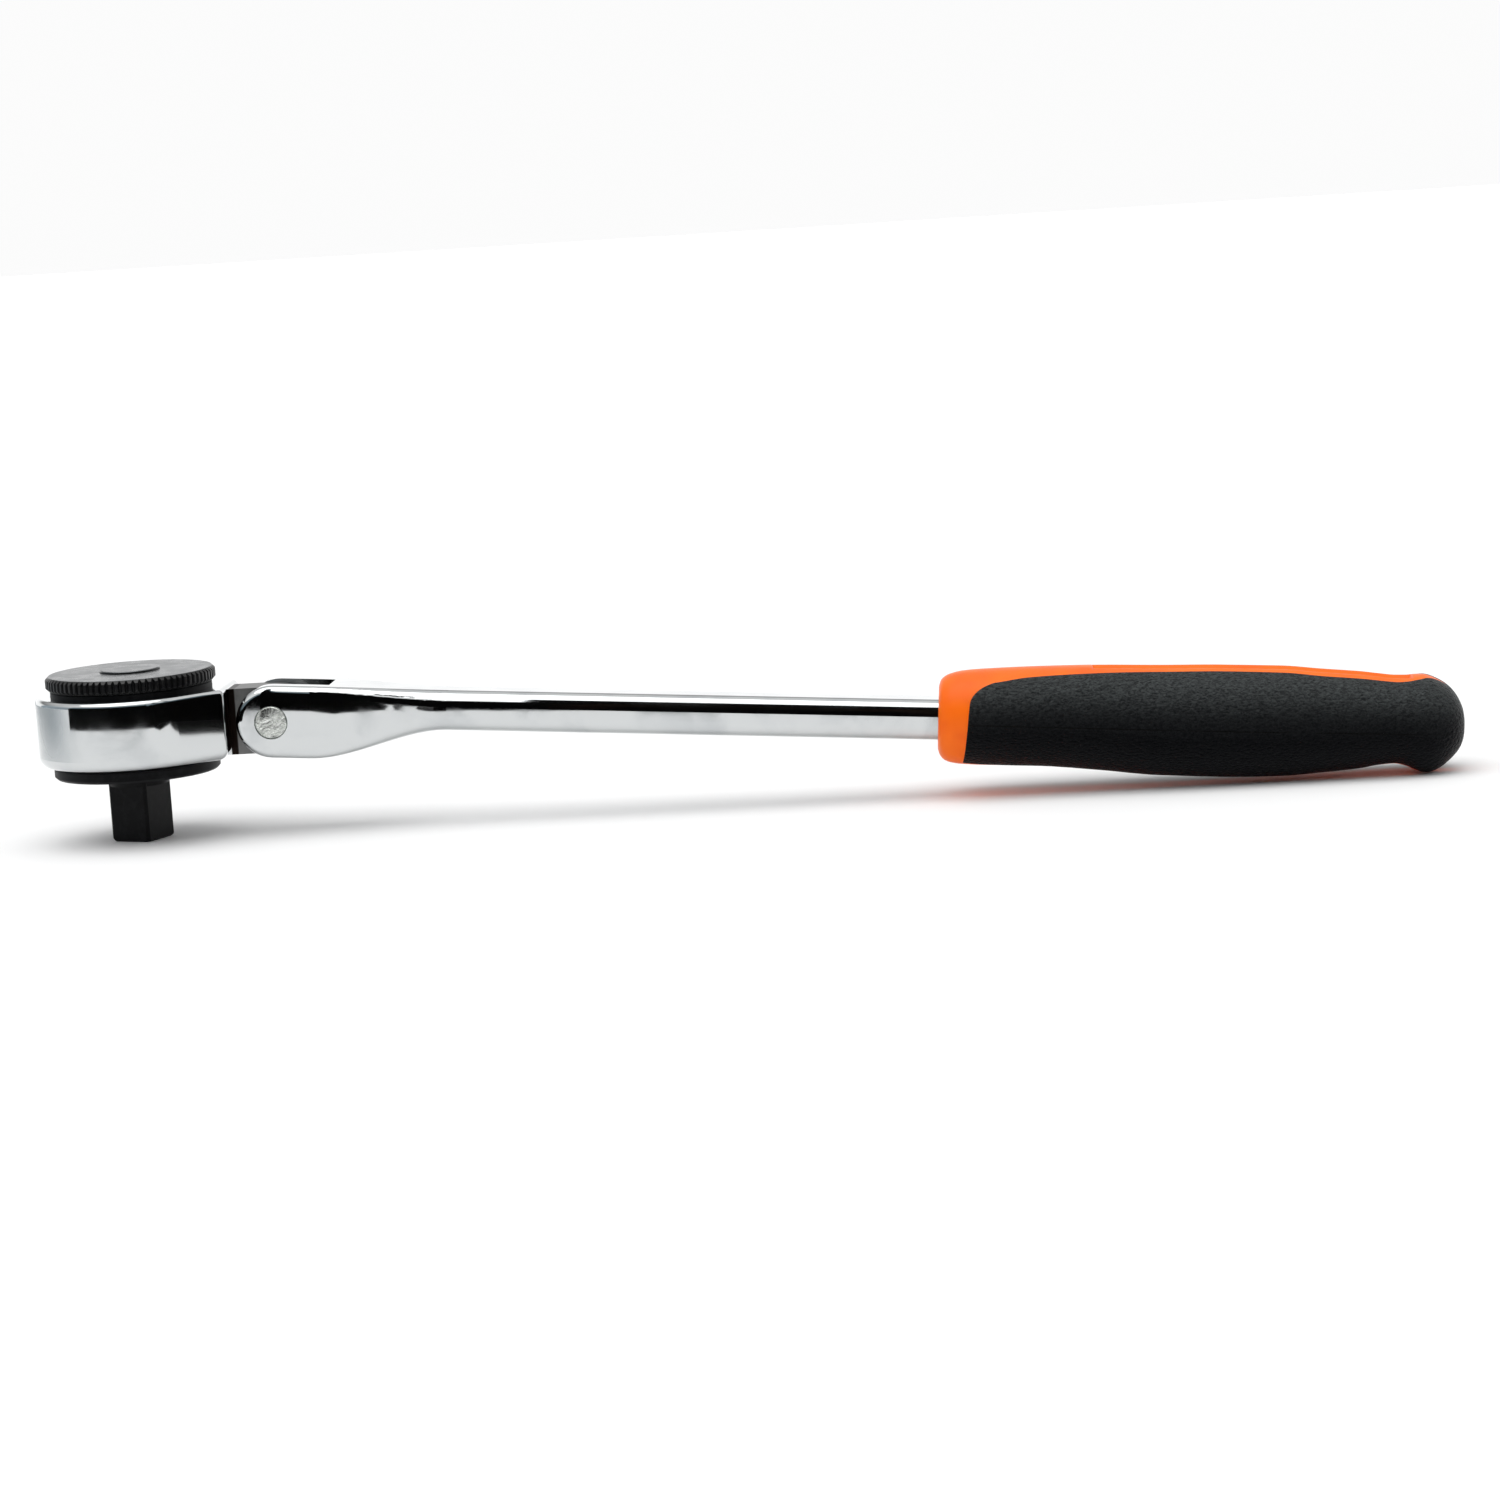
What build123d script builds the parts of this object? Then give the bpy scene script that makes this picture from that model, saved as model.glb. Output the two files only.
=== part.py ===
from build123d import *
import math
import os

# Flex-head ratchet wrench with a 3/8 in square drive and a moulded grip. It stands on the tip of its
# drive tang and on the pommel of its grip. Millimetres, +Z up the drive axis, +X towards the handle,
# origin at the middle of the tang's tip, and Y = 0 is the plane that the handle swings in.
os.makedirs("parts", exist_ok=True)

# ---- driving dimensions: drive tang and head ----
drive_square = 9.53
drive_across_corners = 12.7
tang_length = 14.1
tang_turn = -24.0
tang_nose = 0.9
tang_root_fillet = 2.4
flange_diameter = 34.4
flange_thickness = 2.2
flange_gap = 0.4
barrel_diameter = 40.0
barrel_height = 14.6
barrel_wall = 3.2
barrel_top_round = 1.2
barrel_bottom_round = 2.4
dial_diameter = 35.2
dial_height = 3.0
dial_lift = 1.2
dial_teeth = 80
dial_tooth_depth = 0.55
dial_chamfer = 0.7

# ---- driving dimensions: gear, pawl and reversing train ----
ring_teeth = 72
pawl_rock = 7.0
pawl_pin_diameter = 2.5
dial_travel = 36.0
hub_diameter = 16.0
hub_drop = 9.5
pawl_plunger_diameter = 2.8
pawl_plunger_length = 5.0
pawl_plunger_reach = 11.2
stop_peg_diameter = 2.0
stop_peg_place = 12.5
stop_peg_angle = 340.0
screw_diameter = 2.5
screw_head_diameter = 4.5
screw_length = 7.3
screw_place = 11.7
screw_angles = (15.0, 165.0, 270.0)
seal_section = 1.2

# ---- driving dimensions: quick release ----
button_diameter = 12.4
button_proud = 0.45
button_thickness = 2.5
button_travel = 2.0
spindle_diameter = 4.0
spindle_waist = 2.3
ball_diameter = 3.6
ball_height = 6.0
ball_proud = 0.9
ball_travel = 0.85
ball_angle = tang_turn + 180.0
clip_thickness = 0.5
clip_diameter = 7.6
release_wire = 0.6
release_turns = 3

# ---- driving dimensions: neck, hinge and handle ----
neck_reach = 0.9
hinge_pin_diameter = 6.9
neck_width = 17.8
neck_corner_round = 1.0
tongue_height = 13.7
shoulder_gap = 9.4
tongue_thickness = 8.4
ear_radius = 7.5
slot_throat = 11.4
yoke_end = 8.0
shank_start = 36.0
shank_width = 12.4
shank_height = 8.3
shank_drop = 0.8
shank_corner = 3.2
yoke_round = 1.6
grip_start = 137.3
grip_length = 107.5
grip_strip_width = 13.0
shank_in_grip = 82.0
flex_plunger_diameter = 4.0
flex_plunger_reach = 4.0
flex_bore_depth = 9.6
flex_wire = 0.5

# ---- clearances ----
running_fit = 0.05
seat_fit = 0.02
end_play = 0.2
tooth_gap = 0.12
slot_clearance = 0.15
button_clearance = 0.1
plunger_gap = 0.15

# ---- heights of the head, from the tang's tip upwards ----
barrel_radius = barrel_diameter / 2
flange_radius = flange_diameter / 2
dial_radius = dial_diameter / 2
flange_bottom = tang_length
flange_top = flange_bottom + flange_thickness
barrel_bottom = flange_top + flange_gap
barrel_top = barrel_bottom + barrel_height
dial_bottom = barrel_top + dial_lift
dial_top = dial_bottom + dial_height
plate_top = dial_bottom - end_play
bearing_depth = 2.5
counterbore_depth = 2.2
teeth_bottom = barrel_bottom + bearing_depth
teeth_top = barrel_top - counterbore_depth
land_top = teeth_bottom - end_play
plate_bottom = teeth_top + end_play
pocket_floor = land_top + 1.0

# ---- radii of the gear train ----
bearing_radius = barrel_radius - barrel_wall
land_radius = bearing_radius - running_fit
root_radius = bearing_radius - 0.2
tooth_depth = 0.85 * math.pi * root_radius / ring_teeth
tip_radius = root_radius - tooth_depth
carrier_radius = tip_radius - 0.5
hub_radius = hub_diameter / 2
hub_bore_radius = hub_radius + running_fit
pin_radius = pawl_pin_diameter / 2
pawl_pin_place = tip_radius - 2.5
pawl_bottom = pocket_floor + end_play
pawl_top = plate_bottom - 1.4
pawl_half_rock = pawl_rock / 2
pawl_crown_radius = tip_radius - pawl_pin_place * math.sin(math.radians(pawl_half_rock))
pawl_back = pawl_plunger_reach - 1.0 - pawl_pin_place
pocket_wall = hub_radius - 1.2
hub_bottom = dial_bottom - hub_drop
hub_floor = hub_bottom - 1.2

# ---- quick release ----
button_radius = button_diameter / 2
button_top = dial_top + button_proud
button_bottom = button_top - button_thickness
cup_radius = button_radius + button_clearance
cup_floor = button_bottom - button_travel - 1.95
spindle_radius = spindle_diameter / 2
spindle_bore = spindle_radius + running_fit
waist_radius = spindle_waist / 2
ball_radius = ball_diameter / 2
ball_centre = drive_square / 2 + ball_proud - ball_radius
spindle_bottom = ball_height - 1.4
bore_bottom = spindle_bottom - button_travel - 0.3
clip_radius = clip_diameter / 2
clip_bottom = hub_bottom - 0.1 - clip_thickness
clip_well_floor = clip_bottom - button_travel - end_play

# ---- hinge place and the droop of the handle that lets the pommel touch the ground ----
shoulder = barrel_radius + neck_reach
pin_distance = shoulder + shoulder_gap
pin_height = (barrel_bottom + barrel_top) / 2 + 0.05
shank_rise = ear_radius - shank_drop - shank_height / 2
tongue_radius = tongue_height / 2
hinge_pin_radius = hinge_pin_diameter / 2
pommel_radius = 8.0
pommel_along = grip_start + 98.0
pommel_rise = shank_rise - 1.05
ground_clearance = 0.03
pommel_reach = math.hypot(pommel_along, pommel_rise)
droop = math.asin((pin_height - pommel_radius - ground_clearance) / pommel_reach) + math.atan2(
    pommel_rise, pommel_along
)

along_dir = Vector(math.cos(droop), 0, -math.sin(droop))
rise_dir = Vector(math.sin(droop), 0, math.cos(droop))
hinge_point = Vector(pin_distance, 0, pin_height)


def handle_point(along, rise):
    """A point of the handle's middle plane, from the hinge pin's axis."""
    return hinge_point + along_dir * along + rise_dir * rise


def cross_plane(along, rise):
    """A plane square to the handle. Its x is Y and its y is the handle's up."""
    return Plane(origin=handle_point(along, rise), x_dir=(0, 1, 0), z_dir=along_dir)


def side_plane(along, rise):
    """The handle's middle plane, seen from -Y. Its x runs along the handle."""
    return Plane(origin=handle_point(along, rise), x_dir=along_dir, z_dir=(0, -1, 0))


# ---- shared profiles ----
notch_side = 1.3 * tooth_depth
tooth_notch = ((0, 0), (-notch_side, notch_side), (-notch_side, -notch_side))
# The hollow of the ring gear: a round with V notches, and the same drawn in by the tooth gap.
with BuildSketch() as ring_hollow:
    Circle(tip_radius)
    with PolarLocations(root_radius, ring_teeth):
        Polygon(*tooth_notch, align=None)

with BuildSketch() as pawl_space:
    Circle(tip_radius - tooth_gap)
    with PolarLocations(root_radius - tooth_gap, ring_teeth):
        Polygon(*tooth_notch, align=None)

# ---- ratchet head: barrel that narrows to the neck, ring gear and tongue in one forging ----
shoulder_turn = math.atan2(neck_width / 2, shoulder)
tangent_turn = shoulder_turn + math.acos(barrel_radius / math.hypot(shoulder, neck_width / 2))
tangent_x = barrel_radius * math.cos(tangent_turn)
tangent_y = barrel_radius * math.sin(tangent_turn)
with BuildPart() as ratchet_head:
    with BuildSketch(Plane.XY.offset(barrel_bottom)):
        Circle(barrel_radius)
        Polygon(
            (tangent_x, tangent_y),
            (0, 0),
            (tangent_x, -tangent_y),
            (shoulder, -neck_width / 2),
            (shoulder, neck_width / 2),
            align=None,
        )
    extrude(amount=barrel_height)
    fillet(ratchet_head.edges().filter_by(Axis.Z).sort_by(Axis.X)[-2:], radius=neck_corner_round)
    fillet(ratchet_head.faces().sort_by(Axis.Z)[-1].edges(), radius=barrel_top_round)
    fillet(ratchet_head.faces().sort_by(Axis.Z)[0].edges(), radius=barrel_bottom_round)
    # tongue, with its round end about the hinge pin
    with BuildSketch(Plane.XZ):
        with Locations((pin_distance / 2 + 5, pin_height)):
            Rectangle(pin_distance - 10, tongue_height)
        with Locations((pin_distance, pin_height)):
            Circle(tongue_radius)
    extrude(amount=tongue_thickness / 2, both=True)
    with BuildSketch(Plane.XZ):
        with Locations((pin_distance, pin_height)):
            Circle(hinge_pin_radius + running_fit)
    extrude(amount=tongue_thickness, both=True, mode=Mode.SUBTRACT)
    # bearing bore, gear and counterbore
    with BuildSketch(Plane.XY.offset(barrel_bottom)):
        Circle(bearing_radius)
    extrude(amount=bearing_depth, mode=Mode.SUBTRACT)
    with BuildSketch(Plane.XY.offset(teeth_top)):
        Circle(bearing_radius)
    extrude(amount=counterbore_depth, mode=Mode.SUBTRACT)
    with BuildSketch(Plane.XY.offset(teeth_bottom)):
        add(ring_hollow.sketch)
    extrude(amount=teeth_top - teeth_bottom, mode=Mode.SUBTRACT)
ratchet_head.part.label = "ratchet_head"
export_step(ratchet_head.part, "parts/ratchet_head.step")

# ---- drive tang: a square with turned corners, a round nose and a turned root ----
with BuildPart() as tang:
    with BuildSketch():
        Rectangle(drive_square, drive_square, rotation=tang_turn)
    extrude(amount=tang_length + flange_thickness / 2)
    chamfer(tang.faces().sort_by(Axis.Z)[0].edges(), length=tang_nose / 2)
    with BuildSketch(Plane.XZ):
        with BuildLine():
            Polyline(
                (drive_across_corners / 2, tang_nose),
                (drive_across_corners / 2, tang_length + flange_thickness),
                (0, tang_length + flange_thickness),
                (0, 0),
                (drive_across_corners / 2 - tang_nose, 0),
            )
            RadiusArc(
                (drive_across_corners / 2 - tang_nose, 0),
                (drive_across_corners / 2, tang_nose),
                -tang_nose,
            )
        make_face()
    revolve(axis=Axis.Z, mode=Mode.INTERSECT)

# ---- drive body: tang, flange, bearing land and pawl carrier in one forging ----
root_start = drive_across_corners / 2 - 0.15
with BuildPart() as drive_body:
    with BuildSketch(Plane.XY.offset(flange_bottom)):
        Circle(flange_radius)
    extrude(amount=flange_thickness)
    chamfer(drive_body.faces().sort_by(Axis.Z)[0].edges(), length=0.5)
    with BuildSketch(Plane.XY.offset(flange_top)):
        Circle(land_radius)
    extrude(amount=land_top - flange_top)
    with BuildSketch(Plane.XY.offset(land_top)):
        Circle(carrier_radius)
    extrude(amount=plate_bottom - land_top)
    add(tang.part)
    # turned root, where the square runs out into the flange
    with BuildSketch(Plane.XZ):
        with BuildLine():
            Polyline(
                (root_start + tang_root_fillet, flange_bottom),
                (0, flange_bottom),
                (0, flange_bottom - tang_root_fillet),
                (root_start, flange_bottom - tang_root_fillet),
            )
            RadiusArc(
                (root_start, flange_bottom - tang_root_fillet),
                (root_start + tang_root_fillet, flange_bottom),
                tang_root_fillet,
            )
        make_face()
    revolve(axis=Axis.Z)
    # pocket for the pawl, open to the gear and to the hub's bore
    with BuildSketch(Plane.XY.offset(pocket_floor)):
        with Locations((0, pocket_wall + barrel_radius)):
            Rectangle(2 * barrel_diameter, barrel_diameter)
    extrude(amount=plate_bottom - pocket_floor, mode=Mode.SUBTRACT)
    with BuildSketch(Plane.XY.offset(hub_floor)):
        Circle(hub_bore_radius)
    extrude(amount=plate_bottom - hub_floor, mode=Mode.SUBTRACT)
    # well for the retaining ring under the cover plate
    with BuildSketch(Plane.XY.offset(plate_bottom - 1.1)):
        Circle(hub_radius + 1.7)
    extrude(amount=1.1, mode=Mode.SUBTRACT)
    with BuildSketch(Plane.XY.offset(clip_well_floor)):
        Circle(clip_radius + 0.4)
    extrude(amount=hub_floor - clip_well_floor, mode=Mode.SUBTRACT)
    with BuildSketch(Plane.XY.offset(bore_bottom)):
        Circle(spindle_bore)
    extrude(amount=clip_well_floor - bore_bottom, mode=Mode.SUBTRACT)
    ball_out = Vector(1, 0, 0).rotate(Axis.Z, ball_angle)
    with BuildSketch(Plane(origin=(0, 0, ball_height), x_dir=(0, 0, 1), z_dir=ball_out)):
        Circle(ball_radius + running_fit)
    extrude(amount=drive_square, mode=Mode.SUBTRACT)
    with BuildSketch(Plane.XY.offset(land_top - 1.6)):
        with Locations((0, pawl_pin_place)):
            Circle(pin_radius + seat_fit)
    extrude(amount=2.6, mode=Mode.SUBTRACT)
    with BuildSketch(Plane.XY.offset(plate_top - screw_length - 0.3)):
        for angle in screw_angles:
            with Locations(Vector(screw_place, 0).rotate(Axis.Z, angle)):
                Circle(screw_diameter / 2 + seat_fit)
    extrude(amount=screw_length, mode=Mode.SUBTRACT)
    # groove for the lower seal
    with BuildSketch(Plane.XY.offset(flange_top + 1.0)):
        Circle(land_radius + 1)
        Circle(land_radius - seal_section - 0.1, mode=Mode.SUBTRACT)
    extrude(amount=seal_section + 0.1, mode=Mode.SUBTRACT)
drive_body.part.label = "drive_body"
export_step(drive_body.part, "parts/drive_body.step")

# ---- cover plate, which holds the drive body in the head ----
peg_radius = stop_peg_diameter / 2
plate_seal_bottom = plate_bottom + 0.3
with BuildPart() as cover_plate:
    with BuildSketch(Plane.XY.offset(plate_bottom)):
        Circle(land_radius)
        Circle(hub_bore_radius, mode=Mode.SUBTRACT)
    extrude(amount=plate_top - plate_bottom)
    with BuildSketch(Plane.XY.offset(plate_bottom)):
        with Locations((0, pawl_pin_place)):
            Circle(pin_radius + seat_fit)
    extrude(amount=1.3, mode=Mode.SUBTRACT)
    for angle in screw_angles:
        with Locations(Location(Vector(screw_place, 0, 0).rotate(Axis.Z, angle) + Vector(0, 0, plate_top))):
            CounterSinkHole(
                radius=screw_diameter / 2 + seat_fit,
                counter_sink_radius=screw_head_diameter / 2 + 0.1,
                depth=plate_top - plate_bottom + 1,
            )
    # curved slot that stops the dial at both ends of its turn
    with BuildSketch(Plane.XY.offset(plate_top - 1.3)):
        SlotArc(
            CenterArc((0, 0), stop_peg_place, stop_peg_angle - dial_travel, dial_travel),
            height=stop_peg_diameter + 0.4,
        )
    extrude(amount=1.3, mode=Mode.SUBTRACT)
    with BuildSketch(Plane.XY.offset(plate_seal_bottom)):
        Circle(land_radius + 1)
        Circle(land_radius - seal_section - 0.1, mode=Mode.SUBTRACT)
    extrude(amount=seal_section + 0.1, mode=Mode.SUBTRACT)
cover_plate.part.label = "cover_plate"
export_step(cover_plate.part, "parts/cover_plate.step")

# ---- cover screws, three flat-head screws in one node ----
head_depth = (screw_head_diameter - screw_diameter) / 2
with BuildPart() as cover_screws:
    for angle in screw_angles:
        spot = Vector(screw_place, 0, 0).rotate(Axis.Z, angle)
        with BuildSketch(Plane.XY.offset(plate_top - screw_length).move(Location(spot))):
            Circle(screw_diameter / 2)
        extrude(amount=screw_length - head_depth - 0.1)
        with BuildSketch(Plane.XY.offset(plate_top - 0.1 - head_depth).move(Location(spot))):
            Circle(screw_diameter / 2)
        with BuildSketch(Plane.XY.offset(plate_top - 0.1).move(Location(spot))):
            Circle(screw_head_diameter / 2)
        loft()
        with BuildSketch(Plane.XY.offset(plate_top - 1.1).move(Location(spot))):
            RegularPolygon(screw_diameter / 3, 6)
        extrude(amount=1.1, mode=Mode.SUBTRACT)
cover_screws.part.label = "cover_screws"
export_step(cover_screws.part, "parts/cover_screws.step")

# ---- ring seals round the cover plate and the bearing land ----
seal_middle = land_radius - seal_section / 2 - 0.02
for seal_name, seal_bottom in (("top_seal", plate_seal_bottom), ("bottom_seal", flange_top + 1.0)):
    with BuildPart() as seal:
        with BuildSketch(Plane.XZ):
            with Locations((seal_middle, seal_bottom + 0.05 + seal_section / 2)):
                Circle(seal_section / 2)
        revolve(axis=Axis.Z)
    seal.part.label = seal_name
    export_step(seal.part, f"parts/{seal_name}.step")

# ---- pawl: a rocker with teeth at both ends, the left end in the gear ----
rock = math.radians(pawl_half_rock)
tooth_start = 25.0
tooth_end = 47.0
wedge = [
    (-radius * math.sin(math.radians(turn)), radius * math.cos(math.radians(turn)) - pawl_pin_place)
    for radius, turn in (
        (tip_radius - 4, tooth_start),
        (bearing_radius, tooth_start),
        (bearing_radius, tooth_end),
        (tip_radius - 4, tooth_end),
    )
]
# the plunger's round tip, seen from the pawl, swings on this arc between the dial's two stops
swing = math.radians(dial_travel / 2)
plunger_radius = pawl_plunger_diameter / 2
tip_centre = pawl_plunger_reach - plunger_radius
side_x = -tip_centre * math.sin(swing)
side_y = tip_centre * math.cos(swing) - pawl_pin_place
swing_x = side_x * math.cos(rock) - side_y * math.sin(rock)
swing_y = side_x * math.sin(rock) + side_y * math.cos(rock)
swing_sag = tip_centre - pawl_pin_place - swing_y
swing_radius = (swing_x**2 + swing_sag**2) / (2 * swing_sag)
recess_radius = swing_radius + plunger_radius + plunger_gap
recess_centre = tip_centre - pawl_pin_place - swing_radius
with BuildPart() as pawl:
    with BuildSketch(
        Plane(
            origin=(0, pawl_pin_place, pawl_bottom),
            x_dir=(math.cos(rock), -math.sin(rock), 0),
            z_dir=(0, 0, 1),
        )
    ):
        gear_centre = (pawl_pin_place * math.sin(rock), -pawl_pin_place * math.cos(rock), 0)
        add(pawl_space.sketch.moved(Location(gear_centre, (0, 0, pawl_half_rock))))
        Polygon(*wedge, align=None, mode=Mode.INTERSECT)
        mirror(about=Plane.YZ)
        with Locations((0, -pawl_pin_place)):
            Circle(pawl_crown_radius)
        with Locations((0, pawl_back - barrel_radius)):
            Rectangle(2 * barrel_diameter, barrel_diameter, mode=Mode.SUBTRACT)
        with Locations((0, recess_centre)):
            Circle(recess_radius, mode=Mode.SUBTRACT)
        Circle(pin_radius + running_fit, mode=Mode.SUBTRACT)
    extrude(amount=pawl_top - pawl_bottom)
pawl.part.label = "pawl"
export_step(pawl.part, "parts/pawl.step")

with BuildPart() as pawl_pin:
    with BuildSketch(Plane.XY.offset(land_top - 1.5)):
        with Locations((0, pawl_pin_place)):
            Circle(pin_radius)
    extrude(amount=plate_bottom + 1.2 - (land_top - 1.5))
pawl_pin.part.label = "pawl_pin"
export_step(pawl_pin.part, "parts/pawl_pin.step")

# ---- reversing dial: knurled rim, cup for the button and hub for the plunger ----
plunger_angle = 90.0 + dial_travel / 2
plunger_out = Vector(1, 0, 0).rotate(Axis.Z, plunger_angle)
plunger_height = (pawl_bottom + pawl_top) / 2
plunger_tail = pawl_plunger_reach - pawl_plunger_length
plunger_well = plunger_tail - 3.0
ring_bottom = plate_bottom - 0.8
ring_thickness = 0.6
knurl_half = 0.75 * math.pi * dial_radius / dial_teeth
knurl_root_half = 0.12
with BuildPart() as reversing_dial:
    with BuildSketch(Plane.XY.offset(dial_bottom)):
        Circle(dial_radius)
    extrude(amount=dial_height)
    chamfer(reversing_dial.edges().filter_by(GeomType.CIRCLE), length=dial_chamfer)
    with BuildSketch(Plane.XY.offset(dial_bottom)):
        with PolarLocations(dial_radius, dial_teeth):
            Polygon(
                (0.2, knurl_half),
                (-dial_tooth_depth, knurl_root_half),
                (-dial_tooth_depth, -knurl_root_half),
                (0.2, -knurl_half),
                align=None,
            )
    extrude(amount=dial_height, mode=Mode.SUBTRACT)
    with BuildSketch(Plane.XY.offset(hub_bottom)):
        Circle(hub_radius)
    extrude(amount=hub_drop)
    with BuildSketch(Plane.XY.offset(plate_top - 1.0)):
        with Locations(Vector(stop_peg_place, 0).rotate(Axis.Z, stop_peg_angle)):
            Circle(peg_radius)
    extrude(amount=1.0 + end_play)
    with BuildSketch(Plane.XY.offset(cup_floor)):
        Circle(cup_radius)
    extrude(amount=dial_top - cup_floor, mode=Mode.SUBTRACT)
    with BuildSketch(Plane.XY.offset(hub_bottom)):
        Circle(spindle_radius + 0.3)
    extrude(amount=cup_floor - hub_bottom, mode=Mode.SUBTRACT)
    # groove of the retaining ring
    with BuildSketch(Plane.XY.offset(ring_bottom - 0.05)):
        Circle(hub_radius + 0.1)
        Circle(hub_radius - 0.8, mode=Mode.SUBTRACT)
    extrude(amount=ring_thickness + 0.1, mode=Mode.SUBTRACT)
    # bore of the pawl plunger
    with BuildSketch(
        Plane(
            origin=plunger_out * plunger_well + Vector(0, 0, plunger_height),
            x_dir=(0, 0, 1),
            z_dir=plunger_out,
        )
    ):
        Circle(plunger_radius + running_fit)
    extrude(amount=hub_radius, mode=Mode.SUBTRACT)
reversing_dial.part.label = "reversing_dial"
export_step(reversing_dial.part, "parts/reversing_dial.step")

with BuildPart() as dial_retaining_ring:
    with BuildSketch(Plane.XY.offset(ring_bottom)):
        Circle(hub_radius + 1.2)
        Circle(hub_radius - 0.75, mode=Mode.SUBTRACT)
        with Locations((0, -hub_radius)):
            Rectangle(3.0, 5.0, mode=Mode.SUBTRACT)
    extrude(amount=ring_thickness)
dial_retaining_ring.part.label = "dial_retaining_ring"
export_step(dial_retaining_ring.part, "parts/dial_retaining_ring.step")

# ---- pawl plunger, round-tipped, and the spring behind it ----
with BuildPart() as pawl_plunger:
    with BuildSketch(
        Plane(
            origin=plunger_out * plunger_tail + Vector(0, 0, plunger_height),
            x_dir=(0, 0, 1),
            z_dir=plunger_out,
        )
    ):
        Circle(plunger_radius)
    extrude(amount=pawl_plunger_length - plunger_radius)
    with Locations(Location(plunger_out * tip_centre + Vector(0, 0, plunger_height))):
        Sphere(plunger_radius)
pawl_plunger.part.label = "pawl_plunger"
export_step(pawl_plunger.part, "parts/pawl_plunger.step")


def coil_spring(start, direction, length, mean_radius, wire, turns):
    """A round-wire compression spring from start along direction, as a solid."""
    reach = length - wire - 0.1
    with BuildPart() as spring:
        with BuildLine():
            helix = Helix(pitch=reach / turns, height=reach, radius=mean_radius)
        with BuildSketch(Plane(origin=helix @ 0, z_dir=helix % 0)):
            Circle(wire / 2)
        sweep(path=helix, is_frenet=True)
    foot = Plane(origin=start + direction * (0.05 + wire / 2), z_dir=direction)
    return spring.part.moved(foot.location)


plunger_spring = coil_spring(
    plunger_out * plunger_well + Vector(0, 0, plunger_height),
    plunger_out,
    plunger_tail - plunger_well,
    mean_radius=1.0,
    wire=0.35,
    turns=4,
)
plunger_spring.label = "plunger_spring"
export_step(plunger_spring, "parts/plunger_spring.step")

# ---- quick release: button, spindle, clip, spring and ball ----
with BuildPart() as release_button:
    with BuildSketch(Plane.XY.offset(button_bottom)):
        Circle(button_radius)
    extrude(amount=button_thickness)
    fillet(release_button.faces().sort_by(Axis.Z)[-1].edges(), radius=0.3)
    with BuildSketch(Plane.XY.offset(button_bottom)):
        Circle(spindle_radius + seat_fit)
    extrude(amount=button_thickness / 2, mode=Mode.SUBTRACT)
release_button.part.label = "release_button"
export_step(release_button.part, "parts/release_button.step")

nose_radius = min(spindle_radius, ball_centre - ball_radius - running_fit)
spindle_top = button_bottom + button_thickness / 2 - 0.1
ramp_slope = ball_travel / button_travel
ramp_start = ball_height - 0.4
ramp_end = ramp_start + (nose_radius - waist_radius) / ramp_slope
waist_end = ball_height + button_travel + 1.1
with BuildPart() as release_spindle:
    with BuildSketch(Plane.XZ):
        Polygon(
            (0, spindle_bottom),
            (nose_radius - 0.3, spindle_bottom),
            (nose_radius, spindle_bottom + 0.3),
            (nose_radius, ramp_start),
            (waist_radius, ramp_end),
            (waist_radius, waist_end),
            (spindle_radius, waist_end + 0.8),
            (spindle_radius, clip_bottom - 0.05),
            (spindle_radius - 0.6, clip_bottom - 0.05),
            (spindle_radius - 0.6, clip_bottom + clip_thickness + 0.05),
            (spindle_radius, clip_bottom + clip_thickness + 0.05),
            (spindle_radius, spindle_top),
            (0, spindle_top),
            align=None,
        )
    revolve(axis=Axis.Z)
release_spindle.part.label = "release_spindle"
export_step(release_spindle.part, "parts/release_spindle.step")

with BuildPart() as spindle_clip:
    with BuildSketch(Plane.XY.offset(clip_bottom)):
        Circle(clip_radius)
        Circle(spindle_radius - 0.55, mode=Mode.SUBTRACT)
        with Locations((0, -clip_radius)):
            Rectangle(2 * (spindle_radius - 0.55) - 0.3, clip_diameter, mode=Mode.SUBTRACT)
    extrude(amount=clip_thickness)
spindle_clip.part.label = "spindle_clip"
export_step(spindle_clip.part, "parts/spindle_clip.step")

release_spring = coil_spring(
    Vector(0, 0, cup_floor),
    Vector(0, 0, 1),
    button_bottom - cup_floor,
    mean_radius=cup_radius - 2.0,
    wire=release_wire,
    turns=release_turns,
)
release_spring.label = "release_spring"
export_step(release_spring, "parts/release_spring.step")

with BuildPart() as detent_ball:
    with Locations(Location(ball_out * ball_centre + Vector(0, 0, ball_height))):
        Sphere(ball_radius)
detent_ball.part.label = "detent_ball"
export_step(detent_ball.part, "parts/detent_ball.step")

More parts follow.
